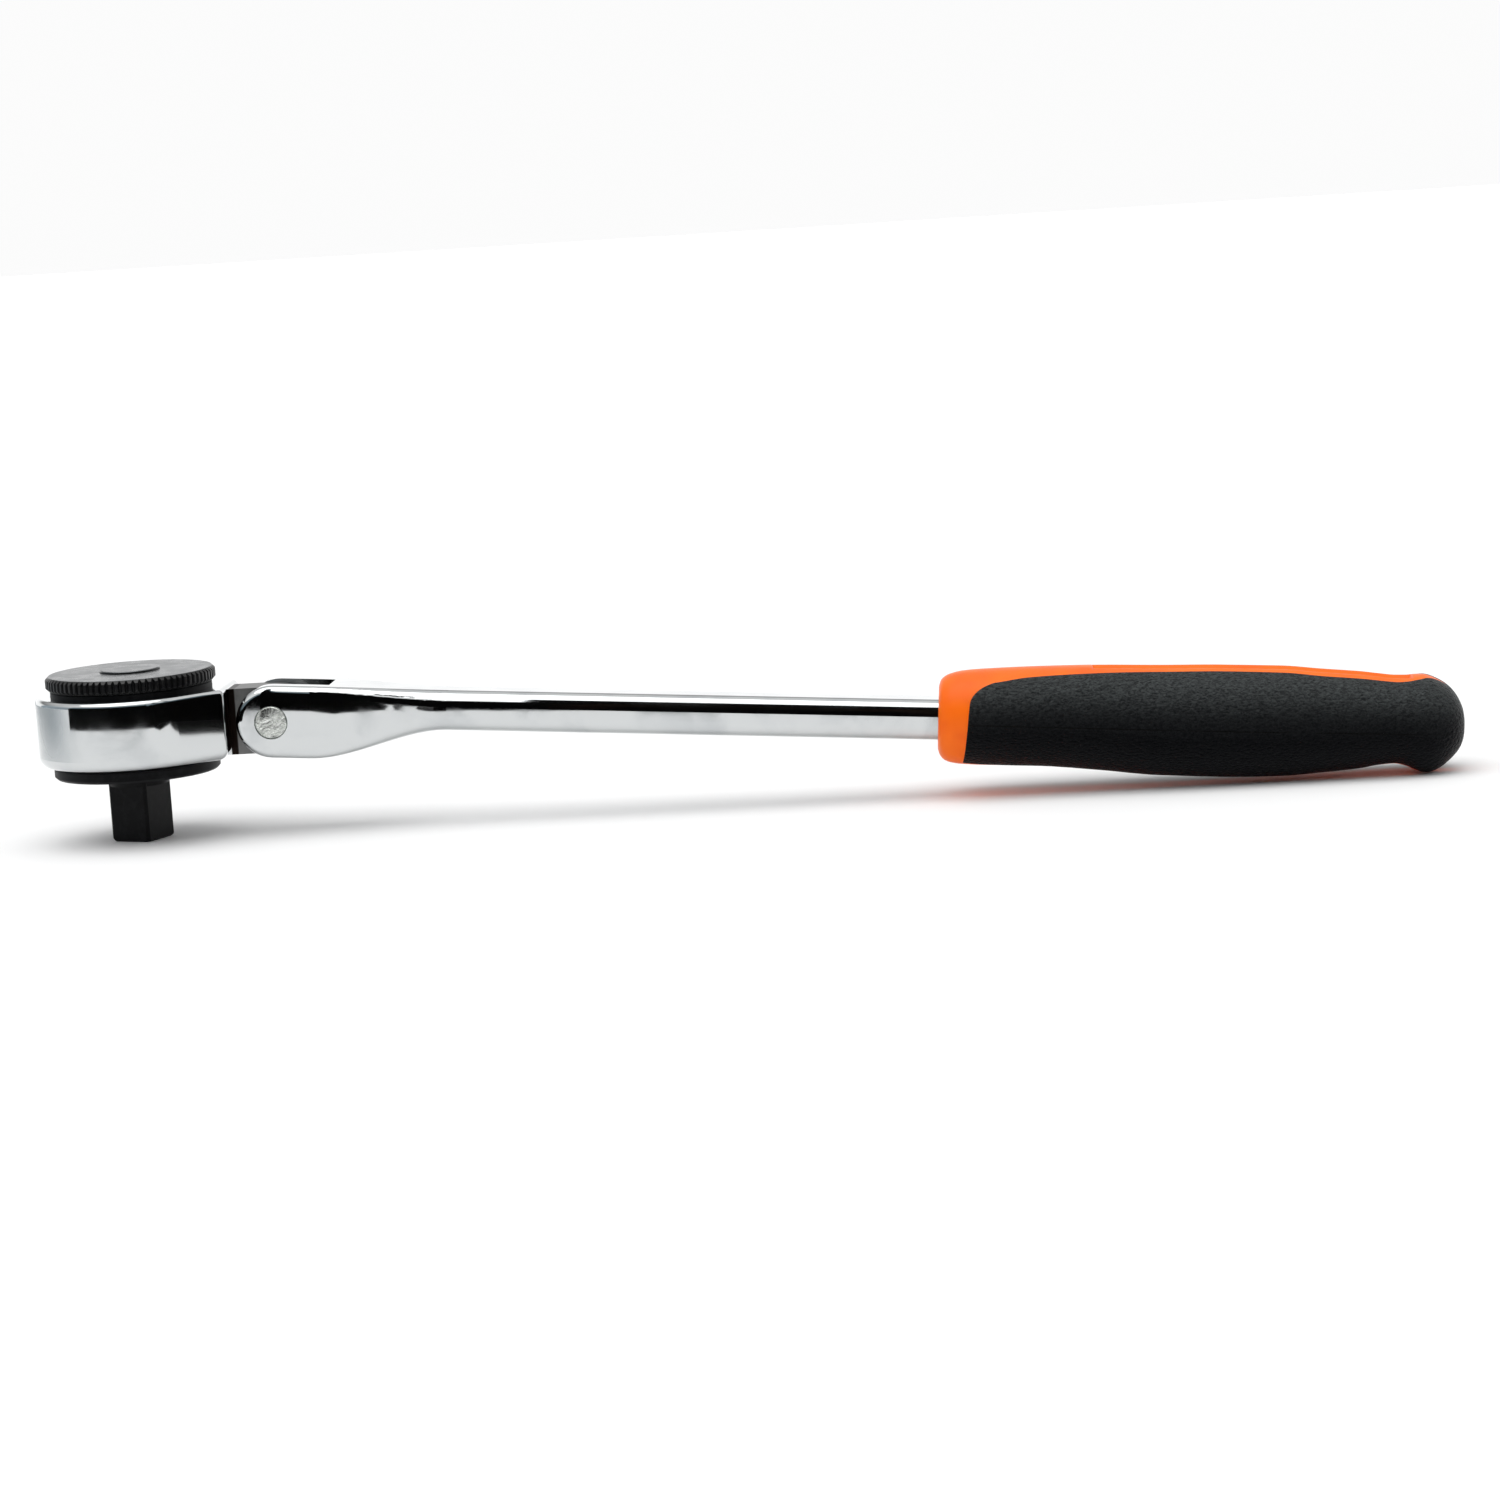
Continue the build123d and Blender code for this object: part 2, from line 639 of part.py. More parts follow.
# ---- handle shaft: yoke, blend and shank in one forging ----
blend_steps = 6
with BuildPart() as handle_shaft:
    with BuildSketch(side_plane(0, 0)):
        Circle(ear_radius)
        with Locations((yoke_end / 2, 0)):
            Rectangle(yoke_end, 2 * ear_radius)
    extrude(amount=neck_width / 2, both=True)
    outer_faces = handle_shaft.faces().filter_by(Axis.Y).sort_by(Axis.Y)
    handle_axis = Axis(hinge_point, along_dir)
    near_rim = outer_faces[0].edges().sort_by(handle_axis)[:-1]
    far_rim = outer_faces[-1].edges().sort_by(handle_axis)[:-1]
    fillet(near_rim + far_rim, radius=yoke_round)
    for step in range(blend_steps + 1):
        share = step / blend_steps
        ease = share * share * (3 - 2 * share)
        along = yoke_end + (shank_start - yoke_end) * share
        height = 2 * ear_radius + (shank_height - 2 * ear_radius) * ease
        width = neck_width + (shank_width - neck_width) * ease
        with BuildSketch(cross_plane(along, ear_radius - shank_drop * ease - height / 2)):
            RectangleRounded(width, height, yoke_round + (shank_corner - yoke_round) * ease)
    loft()
    with BuildSketch(cross_plane(shank_start, shank_rise)):
        RectangleRounded(shank_width, shank_height, shank_corner)
    extrude(amount=grip_start + shank_in_grip - shank_start)
    # slot for the tongue, hole for the pin and bore for the friction plunger
    with BuildSketch(side_plane(0, 0)):
        with Locations(((slot_throat - ear_radius - 1) / 2, 0)):
            Rectangle(slot_throat + ear_radius + 1, 2 * ear_radius + 2)
    extrude(amount=tongue_thickness / 2 + slot_clearance, both=True, mode=Mode.SUBTRACT)
    with BuildSketch(side_plane(0, 0)):
        Circle(hinge_pin_radius + seat_fit)
    extrude(amount=neck_width, both=True, mode=Mode.SUBTRACT)
    with BuildSketch(cross_plane(slot_throat, 0)):
        Circle(flex_plunger_diameter / 2 + running_fit)
    extrude(amount=flex_bore_depth, mode=Mode.SUBTRACT)
handle_shaft.part.label = "handle_shaft"
export_step(handle_shaft.part, "parts/handle_shaft.step")

with BuildPart() as hinge_pin:
    with BuildSketch(side_plane(0, 0)):
        Circle(hinge_pin_radius)
    extrude(amount=neck_width / 2 + 0.05, both=True)
    chamfer(hinge_pin.edges().filter_by(GeomType.CIRCLE), length=0.3)
hinge_pin.part.label = "hinge_pin"
export_step(hinge_pin.part, "parts/hinge_pin.step")

# ---- friction plunger that presses on the round end of the tongue ----
flex_tip = tongue_radius + plunger_gap
flex_tail = slot_throat + flex_plunger_reach
with BuildPart() as flex_plunger:
    with BuildSketch(cross_plane(flex_tip, 0)):
        Circle(flex_plunger_diameter / 2)
    extrude(amount=flex_tail - flex_tip)
    chamfer(flex_plunger.edges().filter_by(GeomType.CIRCLE).sort_by(Axis.X)[0], length=0.5)
flex_plunger.part.label = "flex_plunger"
export_step(flex_plunger.part, "parts/flex_plunger.step")

flex_spring = coil_spring(
    handle_point(flex_tail, 0),
    along_dir,
    flex_bore_depth - flex_plunger_reach,
    mean_radius=1.5,
    wire=flex_wire,
    turns=4,
)
flex_spring.label = "flex_spring"
export_step(flex_spring, "parts/flex_spring.step")

# ---- grip: outer shape through oval sections, as along, top, bottom and half width ----
pommel_floor = pommel_rise - shank_rise - pommel_radius
grip_sections = (
    (0.0, 6.9, -6.5, 7.6),
    (1.6, 8.7, -8.2, 9.3),
    (6.0, 10.1, -9.3, 10.5),
    (20.0, 11.0, -9.3, 11.1),
    (46.0, 11.7, -10.5, 11.9),
    (66.0, 12.0, -10.5, 11.9),
    (82.0, 11.4, -8.9, 11.3),
    (91.0, 10.7, -7.8, 10.9),
    (98.0, 10.8, pommel_floor, 10.8),
    (102.5, 9.6, pommel_floor + 1.4, 9.6),
    (105.8, 6.9, pommel_floor + 4.2, 7.0),
    (grip_length, 3.2, pommel_floor + 7.6, 3.6),
)
with BuildPart() as grip_form:
    for along, top, bottom, half_width in grip_sections:
        with BuildSketch(cross_plane(grip_start + along, shank_rise + (top + bottom) / 2)):
            RectangleRounded(2 * half_width, top - bottom, 0.88 * min(half_width, (top - bottom) / 2))
    loft()

# the core's share of the grip: collar, a strip over top, end and bottom, and a bar inside
collar_length = 5.5
bar_width = 18.4
bar_height = 13.6
bar_length = grip_length - 9.0
with BuildPart() as core_room:
    with BuildSketch(cross_plane(grip_start - 1, shank_rise)):
        Rectangle(40, 40)
    extrude(amount=collar_length + 1)
    with BuildSketch(cross_plane(grip_start, shank_rise)):
        Rectangle(grip_strip_width, 40)
    extrude(amount=grip_length + 5)
    with BuildSketch(cross_plane(grip_start, shank_rise)):
        RectangleRounded(bar_width, bar_height, 3.0)
    extrude(amount=bar_length)

with BuildPart() as grip_core:
    add(grip_form.part)
    add(core_room.part, mode=Mode.INTERSECT)
    with BuildSketch(cross_plane(grip_start - 1, shank_rise)):
        RectangleRounded(shank_width + 2 * seat_fit, shank_height + 2 * seat_fit, shank_corner + seat_fit)
    extrude(amount=1 + shank_in_grip + 0.5, mode=Mode.SUBTRACT)
grip_core.part.label = "grip_core"
export_step(grip_core.part, "parts/grip_core.step")

for panel_name, side in (("grip_panel_left", 1), ("grip_panel_right", -1)):
    with BuildPart() as grip_panel:
        add(grip_form.part)
        add(core_room.part, mode=Mode.SUBTRACT)
        with BuildSketch(cross_plane(grip_start - 1, shank_rise)):
            with Locations((side * 20, 0)):
                Rectangle(40, 60)
        extrude(amount=grip_length + 10, mode=Mode.INTERSECT)
    grip_panel.part.label = panel_name
    export_step(grip_panel.part, f"parts/{panel_name}.step")

print("droop of the handle, degrees:", round(math.degrees(droop), 3))
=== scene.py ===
"""Studio model of a flex-head ratchet wrench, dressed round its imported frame."""

import logging
import math
from dataclasses import dataclass
from enum import Enum

import bmesh
import bpy
import numpy as np
from mathutils import Matrix, Vector


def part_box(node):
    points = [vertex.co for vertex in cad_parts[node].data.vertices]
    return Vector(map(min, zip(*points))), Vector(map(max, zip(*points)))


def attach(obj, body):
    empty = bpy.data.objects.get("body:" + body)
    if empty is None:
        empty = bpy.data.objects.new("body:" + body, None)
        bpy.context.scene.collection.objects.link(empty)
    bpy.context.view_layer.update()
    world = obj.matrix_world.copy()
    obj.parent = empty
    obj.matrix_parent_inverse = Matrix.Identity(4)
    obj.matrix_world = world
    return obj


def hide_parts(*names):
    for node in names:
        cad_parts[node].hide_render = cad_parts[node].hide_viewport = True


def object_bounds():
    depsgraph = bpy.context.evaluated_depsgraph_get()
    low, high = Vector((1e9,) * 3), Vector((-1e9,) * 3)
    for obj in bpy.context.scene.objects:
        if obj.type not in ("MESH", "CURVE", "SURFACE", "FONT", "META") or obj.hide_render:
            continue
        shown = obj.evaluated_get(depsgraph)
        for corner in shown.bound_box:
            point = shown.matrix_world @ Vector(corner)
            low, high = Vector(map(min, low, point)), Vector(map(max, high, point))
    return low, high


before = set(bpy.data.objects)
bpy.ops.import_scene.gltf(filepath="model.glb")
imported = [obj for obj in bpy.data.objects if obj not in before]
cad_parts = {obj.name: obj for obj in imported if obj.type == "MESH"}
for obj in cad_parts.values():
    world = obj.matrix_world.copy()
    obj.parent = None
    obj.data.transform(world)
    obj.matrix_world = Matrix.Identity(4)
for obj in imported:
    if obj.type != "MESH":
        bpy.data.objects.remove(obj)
CAD_BOX = [list(corner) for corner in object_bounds()]

MM = 0.001
MERGE_DISTANCE = 0.001 * MM
GRIT_SCALE = 5200  # finest grit of a surface, in cells per metre
LOG = logging.getLogger("ratchet_wrench")


class Slot(Enum):
    """Material slots of the grip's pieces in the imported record."""

    ORANGE = "orange_plastic"
    RUBBER = "black_rubber"


class Side(Enum):
    """Sides of the grip, as the sign of Y."""

    LEFT = 1
    RIGHT = -1


# ------------------------------------------------------------------ node boards

Colour = tuple[float, float, float, float]
Socket = bpy.types.NodeSocket
Feed = Socket | float | Colour
Triple = tuple[float, float, float]
Edges = tuple[float, float, float, float]


def grey(level: float, warm: float = 0.0) -> Colour:
    """Give a near-neutral colour, a little warmer or cooler than grey."""
    return (level * (1 + warm), level, level * (1 - warm), 1.0)


class Board:
    """Adds and links the nodes of one tree."""

    def __init__(self, tree: bpy.types.NodeTree) -> None:
        """Take the tree that is worked on."""
        self.tree = tree

    def add(self, kind: str, **settings: object) -> bpy.types.Node:
        """Add a node and set its plain properties.

        Args:
            kind: Type name of the node.
            **settings: Properties set on the node.

        Returns:
            The new node.
        """
        node = self.tree.nodes.new(kind)
        for key, value in settings.items():
            setattr(node, key, value)
        return node

    def feed(self, socket: Socket, value: Feed) -> None:
        """Link a socket to another, or set its number.

        Args:
            socket: Input that takes the value.
            value: Output socket, number or colour.
        """
        if isinstance(value, Socket):
            self.tree.links.new(value, socket)
        else:
            socket.default_value = value

    def span(
        self,
        value: Socket,
        low: float,
        high: float,
        to_low: float = 0.0,
        to_high: float = 1.0,
    ) -> Socket:
        """Map a value's range onto another, smoothly and clamped.

        Args:
            value: Value that is mapped.
            low: Start of its range.
            high: End of its range.
            to_low: Result at the start.
            to_high: Result at the end.

        Returns:
            The mapped value.
        """
        node = self.add("ShaderNodeMapRange", interpolation_type="SMOOTHSTEP")
        ends = {"From Min": low, "From Max": high, "To Min": to_low, "To Max": to_high}
        for name, number in ends.items():
            node.inputs[name].default_value = number
        self.feed(node.inputs["Value"], value)
        return node.outputs["Result"]

    def work(self, operation: str, first: Feed, second: Feed = 0.0) -> Socket:
        """Add an arithmetic node.

        Args:
            operation: Name of the operation.
            first: First value.
            second: Second value.

        Returns:
            The result.
        """
        node = self.add("ShaderNodeMath", operation=operation)
        self.feed(node.inputs[0], first)
        self.feed(node.inputs[1], second)
        return node.outputs[0]

    def times(self, first: Feed, second: Feed) -> Socket:
        """Multiply two values."""
        return self.work("MULTIPLY", first, second)

    def split(self, vector: Socket) -> tuple[Socket, Socket, Socket]:
        """Split a vector into its three parts.

        Args:
            vector: Vector that is split.

        Returns:
            X, Y and Z.
        """
        node = self.add("ShaderNodeSeparateXYZ")
        self.feed(node.inputs[0], vector)
        return node.outputs[0], node.outputs[1], node.outputs[2]

    def blend(self, share: Feed, first: Feed, second: Feed) -> Socket:
        """Mix two colours.

        Args:
            share: Share of the second colour.
            first: Colour at 0.
            second: Colour at 1.

        Returns:
            The mixed colour.
        """
        node = self.add("ShaderNodeMix", data_type="RGBA")
        factor, start, end = node.inputs[0], node.inputs[6], node.inputs[7]
        self.feed(factor, share)
        self.feed(start, first)
        self.feed(end, second)
        return node.outputs[2]

    def ramp(self, value: Socket, stops: tuple[tuple[float, Colour], ...]) -> Socket:
        """Colour a value by a ramp.

        Args:
            value: Value from 0 to 1.
            stops: Places along the ramp and their colours.

        Returns:
            The colour.
        """
        node = self.add("ShaderNodeValToRGB")
        elements = node.color_ramp.elements
        while len(elements) < len(stops):
            elements.new(0.5)
        for element, (place, colour) in zip(elements, stops):
            element.position = place
            element.color = colour
        self.feed(node.inputs[0], value)
        return node.outputs[0]


class Bench(Board):
    """Lays out the shader nodes of one finish."""

    def __init__(self, name: str) -> None:
        """Start a material with its own shader and object coordinates.

        Args:
            name: Name of the material.
        """
        self.material = bpy.data.materials.new(name)
        self.material.use_nodes = True
        super().__init__(self.material.node_tree)
        self.shader = self.tree.nodes["Principled BSDF"]
        self.place = self.add("ShaderNodeTexCoord").outputs["Object"]

    def set(self, **values: Feed) -> None:
        """Set inputs of the main shader, with underscores for the spaces in their names."""
        for key, value in values.items():
            self.feed(self.shader.inputs[key.replace("_", " ")], value)

    def axes(self) -> tuple[Socket, Socket, Socket]:
        """Split the object coordinates into X, Y and Z."""
        return self.split(self.place)

    def normal(self) -> tuple[Socket, Socket, Socket]:
        """Split the surface's normal into X, Y and Z."""
        return self.split(self.add("ShaderNodeNewGeometry").outputs["Normal"])

    def noise(
        self,
        scale: float,
        detail: float = 3.0,
        roughness: float = 0.5,
        distortion: float = 0.0,
        at: Socket | None = None,
    ) -> Socket:
        """Add a noise texture.

        Args:
            scale: Scale in cells per metre.
            detail: Octaves of the noise.
            roughness: Share of the finer octaves.
            distortion: How far the noise warps itself.
            at: Coordinates, or None for object coordinates.

        Returns:
            The noise factor.
        """
        node = self.add("ShaderNodeTexNoise")
        self.feed(node.inputs["Vector"], at or self.place)
        node.inputs["Scale"].default_value = scale
        node.inputs["Detail"].default_value = detail
        node.inputs["Roughness"].default_value = roughness
        node.inputs["Distortion"].default_value = distortion
        return node.outputs["Fac"]

    def creases(self, scale: float, at: Socket) -> Socket:
        """Add rounded cells that meet in creases.

        Args:
            scale: Scale in cells per metre.
            at: Coordinates.

        Returns:
            Distance from the middle of each cell.
        """
        node = self.add("ShaderNodeTexVoronoi", feature="SMOOTH_F1")
        self.feed(node.inputs["Vector"], at)
        node.inputs["Scale"].default_value = scale
        return node.outputs["Distance"]

    def stretched(self, scale: Triple, turn: Triple) -> Socket:
        """Stretch and turn the object coordinates.

        Args:
            scale: Scale along each axis.
            turn: Rotation about each axis, in radians.

        Returns:
            The mapped coordinates.
        """
        node = self.add("ShaderNodeMapping")
        self.feed(node.inputs["Vector"], self.place)
        node.inputs["Scale"].default_value = scale
        node.inputs["Rotation"].default_value = turn
        return node.outputs["Vector"]

    def along(self, direction: Vector, start: Vector) -> Socket:
        """Measure object coordinates along a direction.

        Args:
            direction: Unit direction.
            start: Point where the measure is zero.

        Returns:
            Distance in metres.
        """
        node = self.add("ShaderNodeVectorMath", operation="DOT_PRODUCT")
        self.feed(node.inputs[0], self.place)
        node.inputs[1].default_value = direction
        return self.work("SUBTRACT", node.outputs["Value"], direction.dot(start))

    def bump(self, height: Socket, strength: float, depth: float) -> None:
        """Raise a bump on the shader, over any earlier one.

        Args:
            height: Height field from 0 to 1.
            strength: Strength of the bump.
            depth: Depth in metres.
        """
        node = self.add("ShaderNodeBump")
        node.inputs["Strength"].default_value = strength
        node.inputs["Distance"].default_value = depth
        self.feed(node.inputs["Height"], height)
        before = self.shader.inputs["Normal"].links
        if before:
            self.feed(node.inputs["Normal"], before[0].from_socket)
        self.feed(self.shader.inputs["Normal"], node.outputs["Normal"])


# -------------------------------------------------------------------- finishes


@dataclass(frozen=True)
class Finish:
    """A surface finish with its own named material."""

    name: str

    def build(self) -> bpy.types.Material:
        """Make the finish's material.

        Returns:
            The finished material.
        """
        bench = Bench(self.name)
        self.lay_out(bench)
        return bench.material

    def lay_out(self, bench: Bench) -> None:
        """Lay the nodes out on a bench."""
        raise NotImplementedError(self.name)


@dataclass(frozen=True)
class PolishedChrome(Finish):
    """Mirror chrome plate over a polished forging, satin where the tongue rubs, with painted shade in the
    recess at the tongue's root.
    """

    name: str = "polished_chrome"
    bright: Colour = (0.62, 0.637, 0.64, 1.0)
    hazed: Colour = (0.53, 0.55, 0.56, 1.0)
    satin: Colour = (0.16, 0.165, 0.165, 1.0)
    rubbed: Colour = grey(0.24, 0.02)
    # near-black painted shade for the recess at the root of the tongue
    recess_shade: Colour = (0.012, 0.008, 0.007, 1.0)
    satin_from: float = 1.0
    satin_half_width: float = 4.3 * MM
    satin_roughness: float = 0.34
    edge: float = 0.1 * MM
    recess_length: float = 1.5 * MM
    recess_fade: float = 0.3 * MM
    mirror_roughness: tuple[float, float] = (0.035, 0.085)
    wave_depth: float = 0.12 * MM

    def tongue(self, bench: Bench) -> Socket:
        """Find where the tongue's satin sides are.

        Args:
            bench: Bench of the finish.

        Returns:
            1 on the tongue and 0 elsewhere.
        """
        east, north, _ = bench.axes()
        beyond = bench.span(east, self.satin_from, self.satin_from + self.edge)
        across = bench.work("ABSOLUTE", north)
        inside = bench.span(across, self.satin_half_width, self.satin_half_width + self.edge, 1, 0)
        return bench.times(beyond, inside)

    def recess(self, bench: Bench) -> Socket:
        """Find the recess at the root of the tongue, where shade is painted near black.

        Args:
            bench: Bench of the finish.

        Returns:
            1 in the recess and 0 elsewhere.
        """
        east, _, _ = bench.axes()
        end = self.satin_from + self.recess_length
        begins = bench.span(east, self.satin_from - 1.2 * self.edge, self.satin_from - 0.6 * self.edge)
        return bench.times(begins, bench.span(east, end - self.recess_fade, end, 1, 0))

    def lay_out(self, bench: Bench) -> None:
        """Lay the nodes out.

        Args:
            bench: Bench of the finish.
        """
        tongue = self.tongue(bench)
        haze = bench.span(bench.noise(70, 4, 0.6, 0.4), 0.42, 0.72)
        grains = bench.noise(4200, 2, 0.6)
        plate = bench.blend(haze, self.bright, self.hazed)
        worn = bench.blend(bench.noise(900, 3, 0.7), self.satin, self.rubbed)
        bare = bench.blend(tongue, plate, worn)
        mirror = bench.span(haze, 0, 1, *self.mirror_roughness)
        bench.set(
            # the recess at the root of the tongue is painted near black: painted shade
            Base_Color=bench.blend(self.recess(bench), bare, self.recess_shade),
            Metallic=1.0,
            Roughness=bench.work("ADD", mirror, bench.times(tongue, self.satin_roughness)),
        )
        bench.bump(bench.noise(110, 1, 0.4), 0.07, self.wave_depth)
        bench.bump(bench.times(grains, bench.work("ADD", tongue, 0.03)), 0.3, 0.03 * MM)


@dataclass(frozen=True)
class BlackOxide(Finish):
    """Oiled black oxide on machined steel, greyer where it is handled."""

    name: str = "oiled_black_oxide"
    deep: Colour = (0.0028, 0.003, 0.0036, 1.0)
    worn: Colour = (0.0095, 0.0095, 0.0105, 1.0)
    roughness: float = 0.36
    rougher: float = 0.16
    mottle_scale: float = 520

    def lay_out(self, bench: Bench) -> None:
        """Lay the nodes out.

        Args:
            bench: Bench of the finish.
        """
        mottle = bench.noise(self.mottle_scale, 5, 0.65, 0.3)
        grit = bench.noise(GRIT_SCALE, 2, 0.6)
        bench.set(
            Base_Color=bench.blend(bench.span(mottle, 0.4, 0.75), self.deep, self.worn),
            Metallic=0.0,
            Specular_IOR_Level=0.1,
            IOR=1.5,
            Roughness=bench.span(mottle, 0.2, 0.8, self.roughness, self.roughness + self.rougher),
        )
        bench.bump(grit, 0.35, 0.02 * MM)
        bench.bump(mottle, 0.2, 0.05 * MM)


@dataclass(frozen=True)
class DialBlack(Finish):
    """Satin black dial metal, turned on its flat top."""

    name: str = "satin_black_dial"
    deep: Colour = (0.004, 0.0042, 0.0048, 1.0)
    dusty: Colour = (0.014, 0.0135, 0.013, 1.0)
    turned: Colour = (0.16, 0.168, 0.175, 1.0)
    turned_from: float = 35.42 * MM
    ring_pitch: float = 0.16 * MM

    def lay_out(self, bench: Bench) -> None:
        """Lay the nodes out.

        Args:
            bench: Bench of the finish.
        """
        east, north, height = bench.axes()
        squares = bench.work("ADD", bench.times(east, east), bench.times(north, north))
        radius = bench.work("SQRT", squares)
        rings = bench.work("SINE", bench.times(radius, 2 * math.pi / self.ring_pitch))
        uneven = bench.noise(300, 4, 0.6)
        flat = bench.span(height, self.turned_from, self.turned_from + 0.05 * MM)
        mottle = bench.noise(1400, 3, 0.6)
        knurled = bench.blend(bench.span(mottle, 0.45, 0.8), self.deep, self.dusty)
        matt = bench.span(uneven, 0.2, 0.8, 0.28, 0.38)
        bench.set(
            Base_Color=bench.blend(flat, knurled, self.turned),
            Metallic=flat,
            Specular_IOR_Level=0.36,
            IOR=1.5,
            Roughness=bench.work("ADD", matt, bench.times(flat, -0.04)),
        )
        bench.bump(bench.times(bench.times(rings, flat), uneven), 0.25, 0.01 * MM)
        bench.bump(bench.noise(GRIT_SCALE, 2, 0.6), 0.3, 0.015 * MM)


@dataclass(frozen=True)
class PeenedSteel(Finish):
    """Bright steel whose end was hammered over and polished back."""

    name: str = "peened_steel"
    bright: Colour = (0.86, 0.88, 0.85, 1.0)
    dull: Colour = (0.55, 0.58, 0.54, 1.0)

    def lay_out(self, bench: Bench) -> None:
        """Lay the nodes out.

        Args:
            bench: Bench of the finish.
        """
        dents = bench.noise(420, 2, 0.5, 1.2)
        scuffs = bench.noise(2600, 4, 0.65, 0.8)
        bench.set(
            Base_Color=bench.blend(bench.span(scuffs, 0.35, 0.7), self.bright, self.dull),
            Metallic=1.0,
            Roughness=bench.span(scuffs, 0.3, 0.7, 0.16, 0.3),
        )
        bench.bump(dents, 0.45, 0.16 * MM)
        bench.bump(scuffs, 0.3, 0.02 * MM)


@dataclass(frozen=True)
class PlainSteel(Finish):
    """Ground or drawn steel of the parts inside."""

    name: str
    bright: Colour
    dull: Colour
    rough: float = 0.28

    def lay_out(self, bench: Bench) -> None:
        """Lay the nodes out.

        Args:
            bench: Bench of the finish.
        """
        streaks = bench.noise(900, 4, 0.6, 0.2)
        bench.set(
            Base_Color=bench.blend(bench.span(streaks, 0.35, 0.7), self.bright, self.dull),
            Metallic=1.0,
            Roughness=bench.span(streaks, 0.2, 0.8, self.rough, self.rough + 0.14),
        )
        bench.bump(bench.noise(4000, 2, 0.6), 0.25, 0.02 * MM)


@dataclass(frozen=True)
class MouldedOrange(Finish):
    """Hard orange moulding with a fine spark-eroded skin."""

    name: str = "moulded_orange"
    bright: Colour = (1.0, 0.165, 0.001, 1.0)
    deep: Colour = (0.9, 0.125, 0.001, 1.0)

    def lay_out(self, bench: Bench) -> None:
        """Lay the nodes out.

        Args:
            bench: Bench of the finish.
        """
        flow = bench.noise(60, 3, 0.5, 0.6)
        skin = bench.noise(3200, 3, 0.6)
        bench.set(
            Base_Color=bench.blend(bench.span(flow, 0.35, 0.7), self.bright, self.deep),
            Specular_IOR_Level=0.22,
            IOR=1.5,
            Roughness=bench.span(skin, 0.2, 0.8, 0.36, 0.46),
            Subsurface_Weight=0.06,
            Subsurface_Scale=0.8 * MM,
        )
        bench.bump(skin, 0.22, 0.02 * MM)


@dataclass(frozen=True)
class GrainedRubber(Finish):
    """Soft black rubber with a leather grain and the line where its mould parts, painted lighter on its
    upper half and darker on its lower half.
    """

    line_direction: Vector
    line_start: Vector
    line_half: float = 0.16 * MM
    # deep is the rubber's near-black and also the painted shade of downward faces; pale is painted light
    # on the raised grain of upward faces; dusty is real dusting on upward faces that also paints light on
    # the upper half
    deep: Colour = (0.001, 0.0012, 0.0022, 1.0)
    pale: Colour = (0.052, 0.058, 0.058, 1.0)
    dusty: Colour = grey(0.045, -0.06)
    line: Colour = grey(0.0005)
    grain_stretch: Triple = (0.72, 1.0, 1.25)
    grain_slant: Triple = (0.0, math.radians(32), 0.0)
    grain_scale: float = 1900
    crease_scale: float = 1600
    grain_depth: float = 0.6 * MM

    def mould_line(self, bench: Bench) -> Socket:
        """Find the faint line where the mould parts.

        Args:
            bench: Bench of the finish.

        Returns:
            1 on the line and 0 off it, faded in places.
        """
        rise = bench.work("ABSOLUTE", bench.along(self.line_direction, self.line_start))
        sharp = bench.span(rise, self.line_half * 0.4, self.line_half, 1, 0)
        return bench.times(sharp, bench.span(bench.noise(60, 2), 0.35, 0.55))

    def lay_out(self, bench: Bench) -> None:
        """Lay the nodes out.

        Args:
            bench: Bench of the finish.
        """
        slanted = bench.stretched(self.grain_stretch, self.grain_slant)
        grain = bench.noise(self.grain_scale, 2, 0.55, 0.9, slanted)
        creases = bench.span(bench.creases(self.crease_scale, slanted), 0.0, 0.6)
        hide = bench.work("ADD", bench.times(grain, 0.65), bench.times(creases, 0.35))
        # Upward faces are painted paler and downward faces near black: painted light on the upper half and
        # painted shade on the lower half. The same upward share lays the dusty colour, partly real dusting
        # and partly painted light on the upper half.
        _, _, upward = bench.normal()
        upward_dust_and_light = bench.span(upward, -0.2, 0.8)
        dust_and_top_light = bench.times(bench.span(bench.noise(3400, 3, 0.7), 0.5, 0.75), upward_dust_and_light)
        # the raised grain is painted paler: painted highlights on the bumps of the grain
        lit_grain_tops = bench.span(grain, 0.34, 0.66, 0.3, 1.0)
        skin = bench.blend(bench.times(lit_grain_tops, bench.work("ADD", upward_dust_and_light, 0.05)), self.deep, self.pale)
        colour = bench.blend(bench.times(dust_and_top_light, 0.7), skin, self.dusty)
        line = self.mould_line(bench)
        bench.set(
            Base_Color=bench.blend(line, colour, self.line),
            Specular_IOR_Level=0.09,
            IOR=1.48,
            Roughness=bench.span(hide, 0.2, 0.8, 0.3, 0.46),
        )
        bench.bump(hide, 1.0, self.grain_depth)
        bench.bump(bench.noise(GRIT_SCALE, 2, 0.6), 0.3, 0.03 * MM)
        bench.bump(line, 1.0, -0.15 * MM)


@dataclass(frozen=True)
class SealRubber(Finish):
    """Smooth black rubber of the ring seals."""

    name: str = "seal_black"

    def lay_out(self, bench: Bench) -> None:
        """Lay the nodes out.

        Args:
            bench: Bench of the finish.
        """
        bloom = bench.noise(800, 3, 0.6)
        bench.set(
            Base_Color=bench.blend(bloom, grey(0.012), grey(0.03)),
            Roughness=bench.span(bloom, 0.2, 0.8, 0.45, 0.6),
        )
        bench.bump(bloom, 0.2, 0.02 * MM)


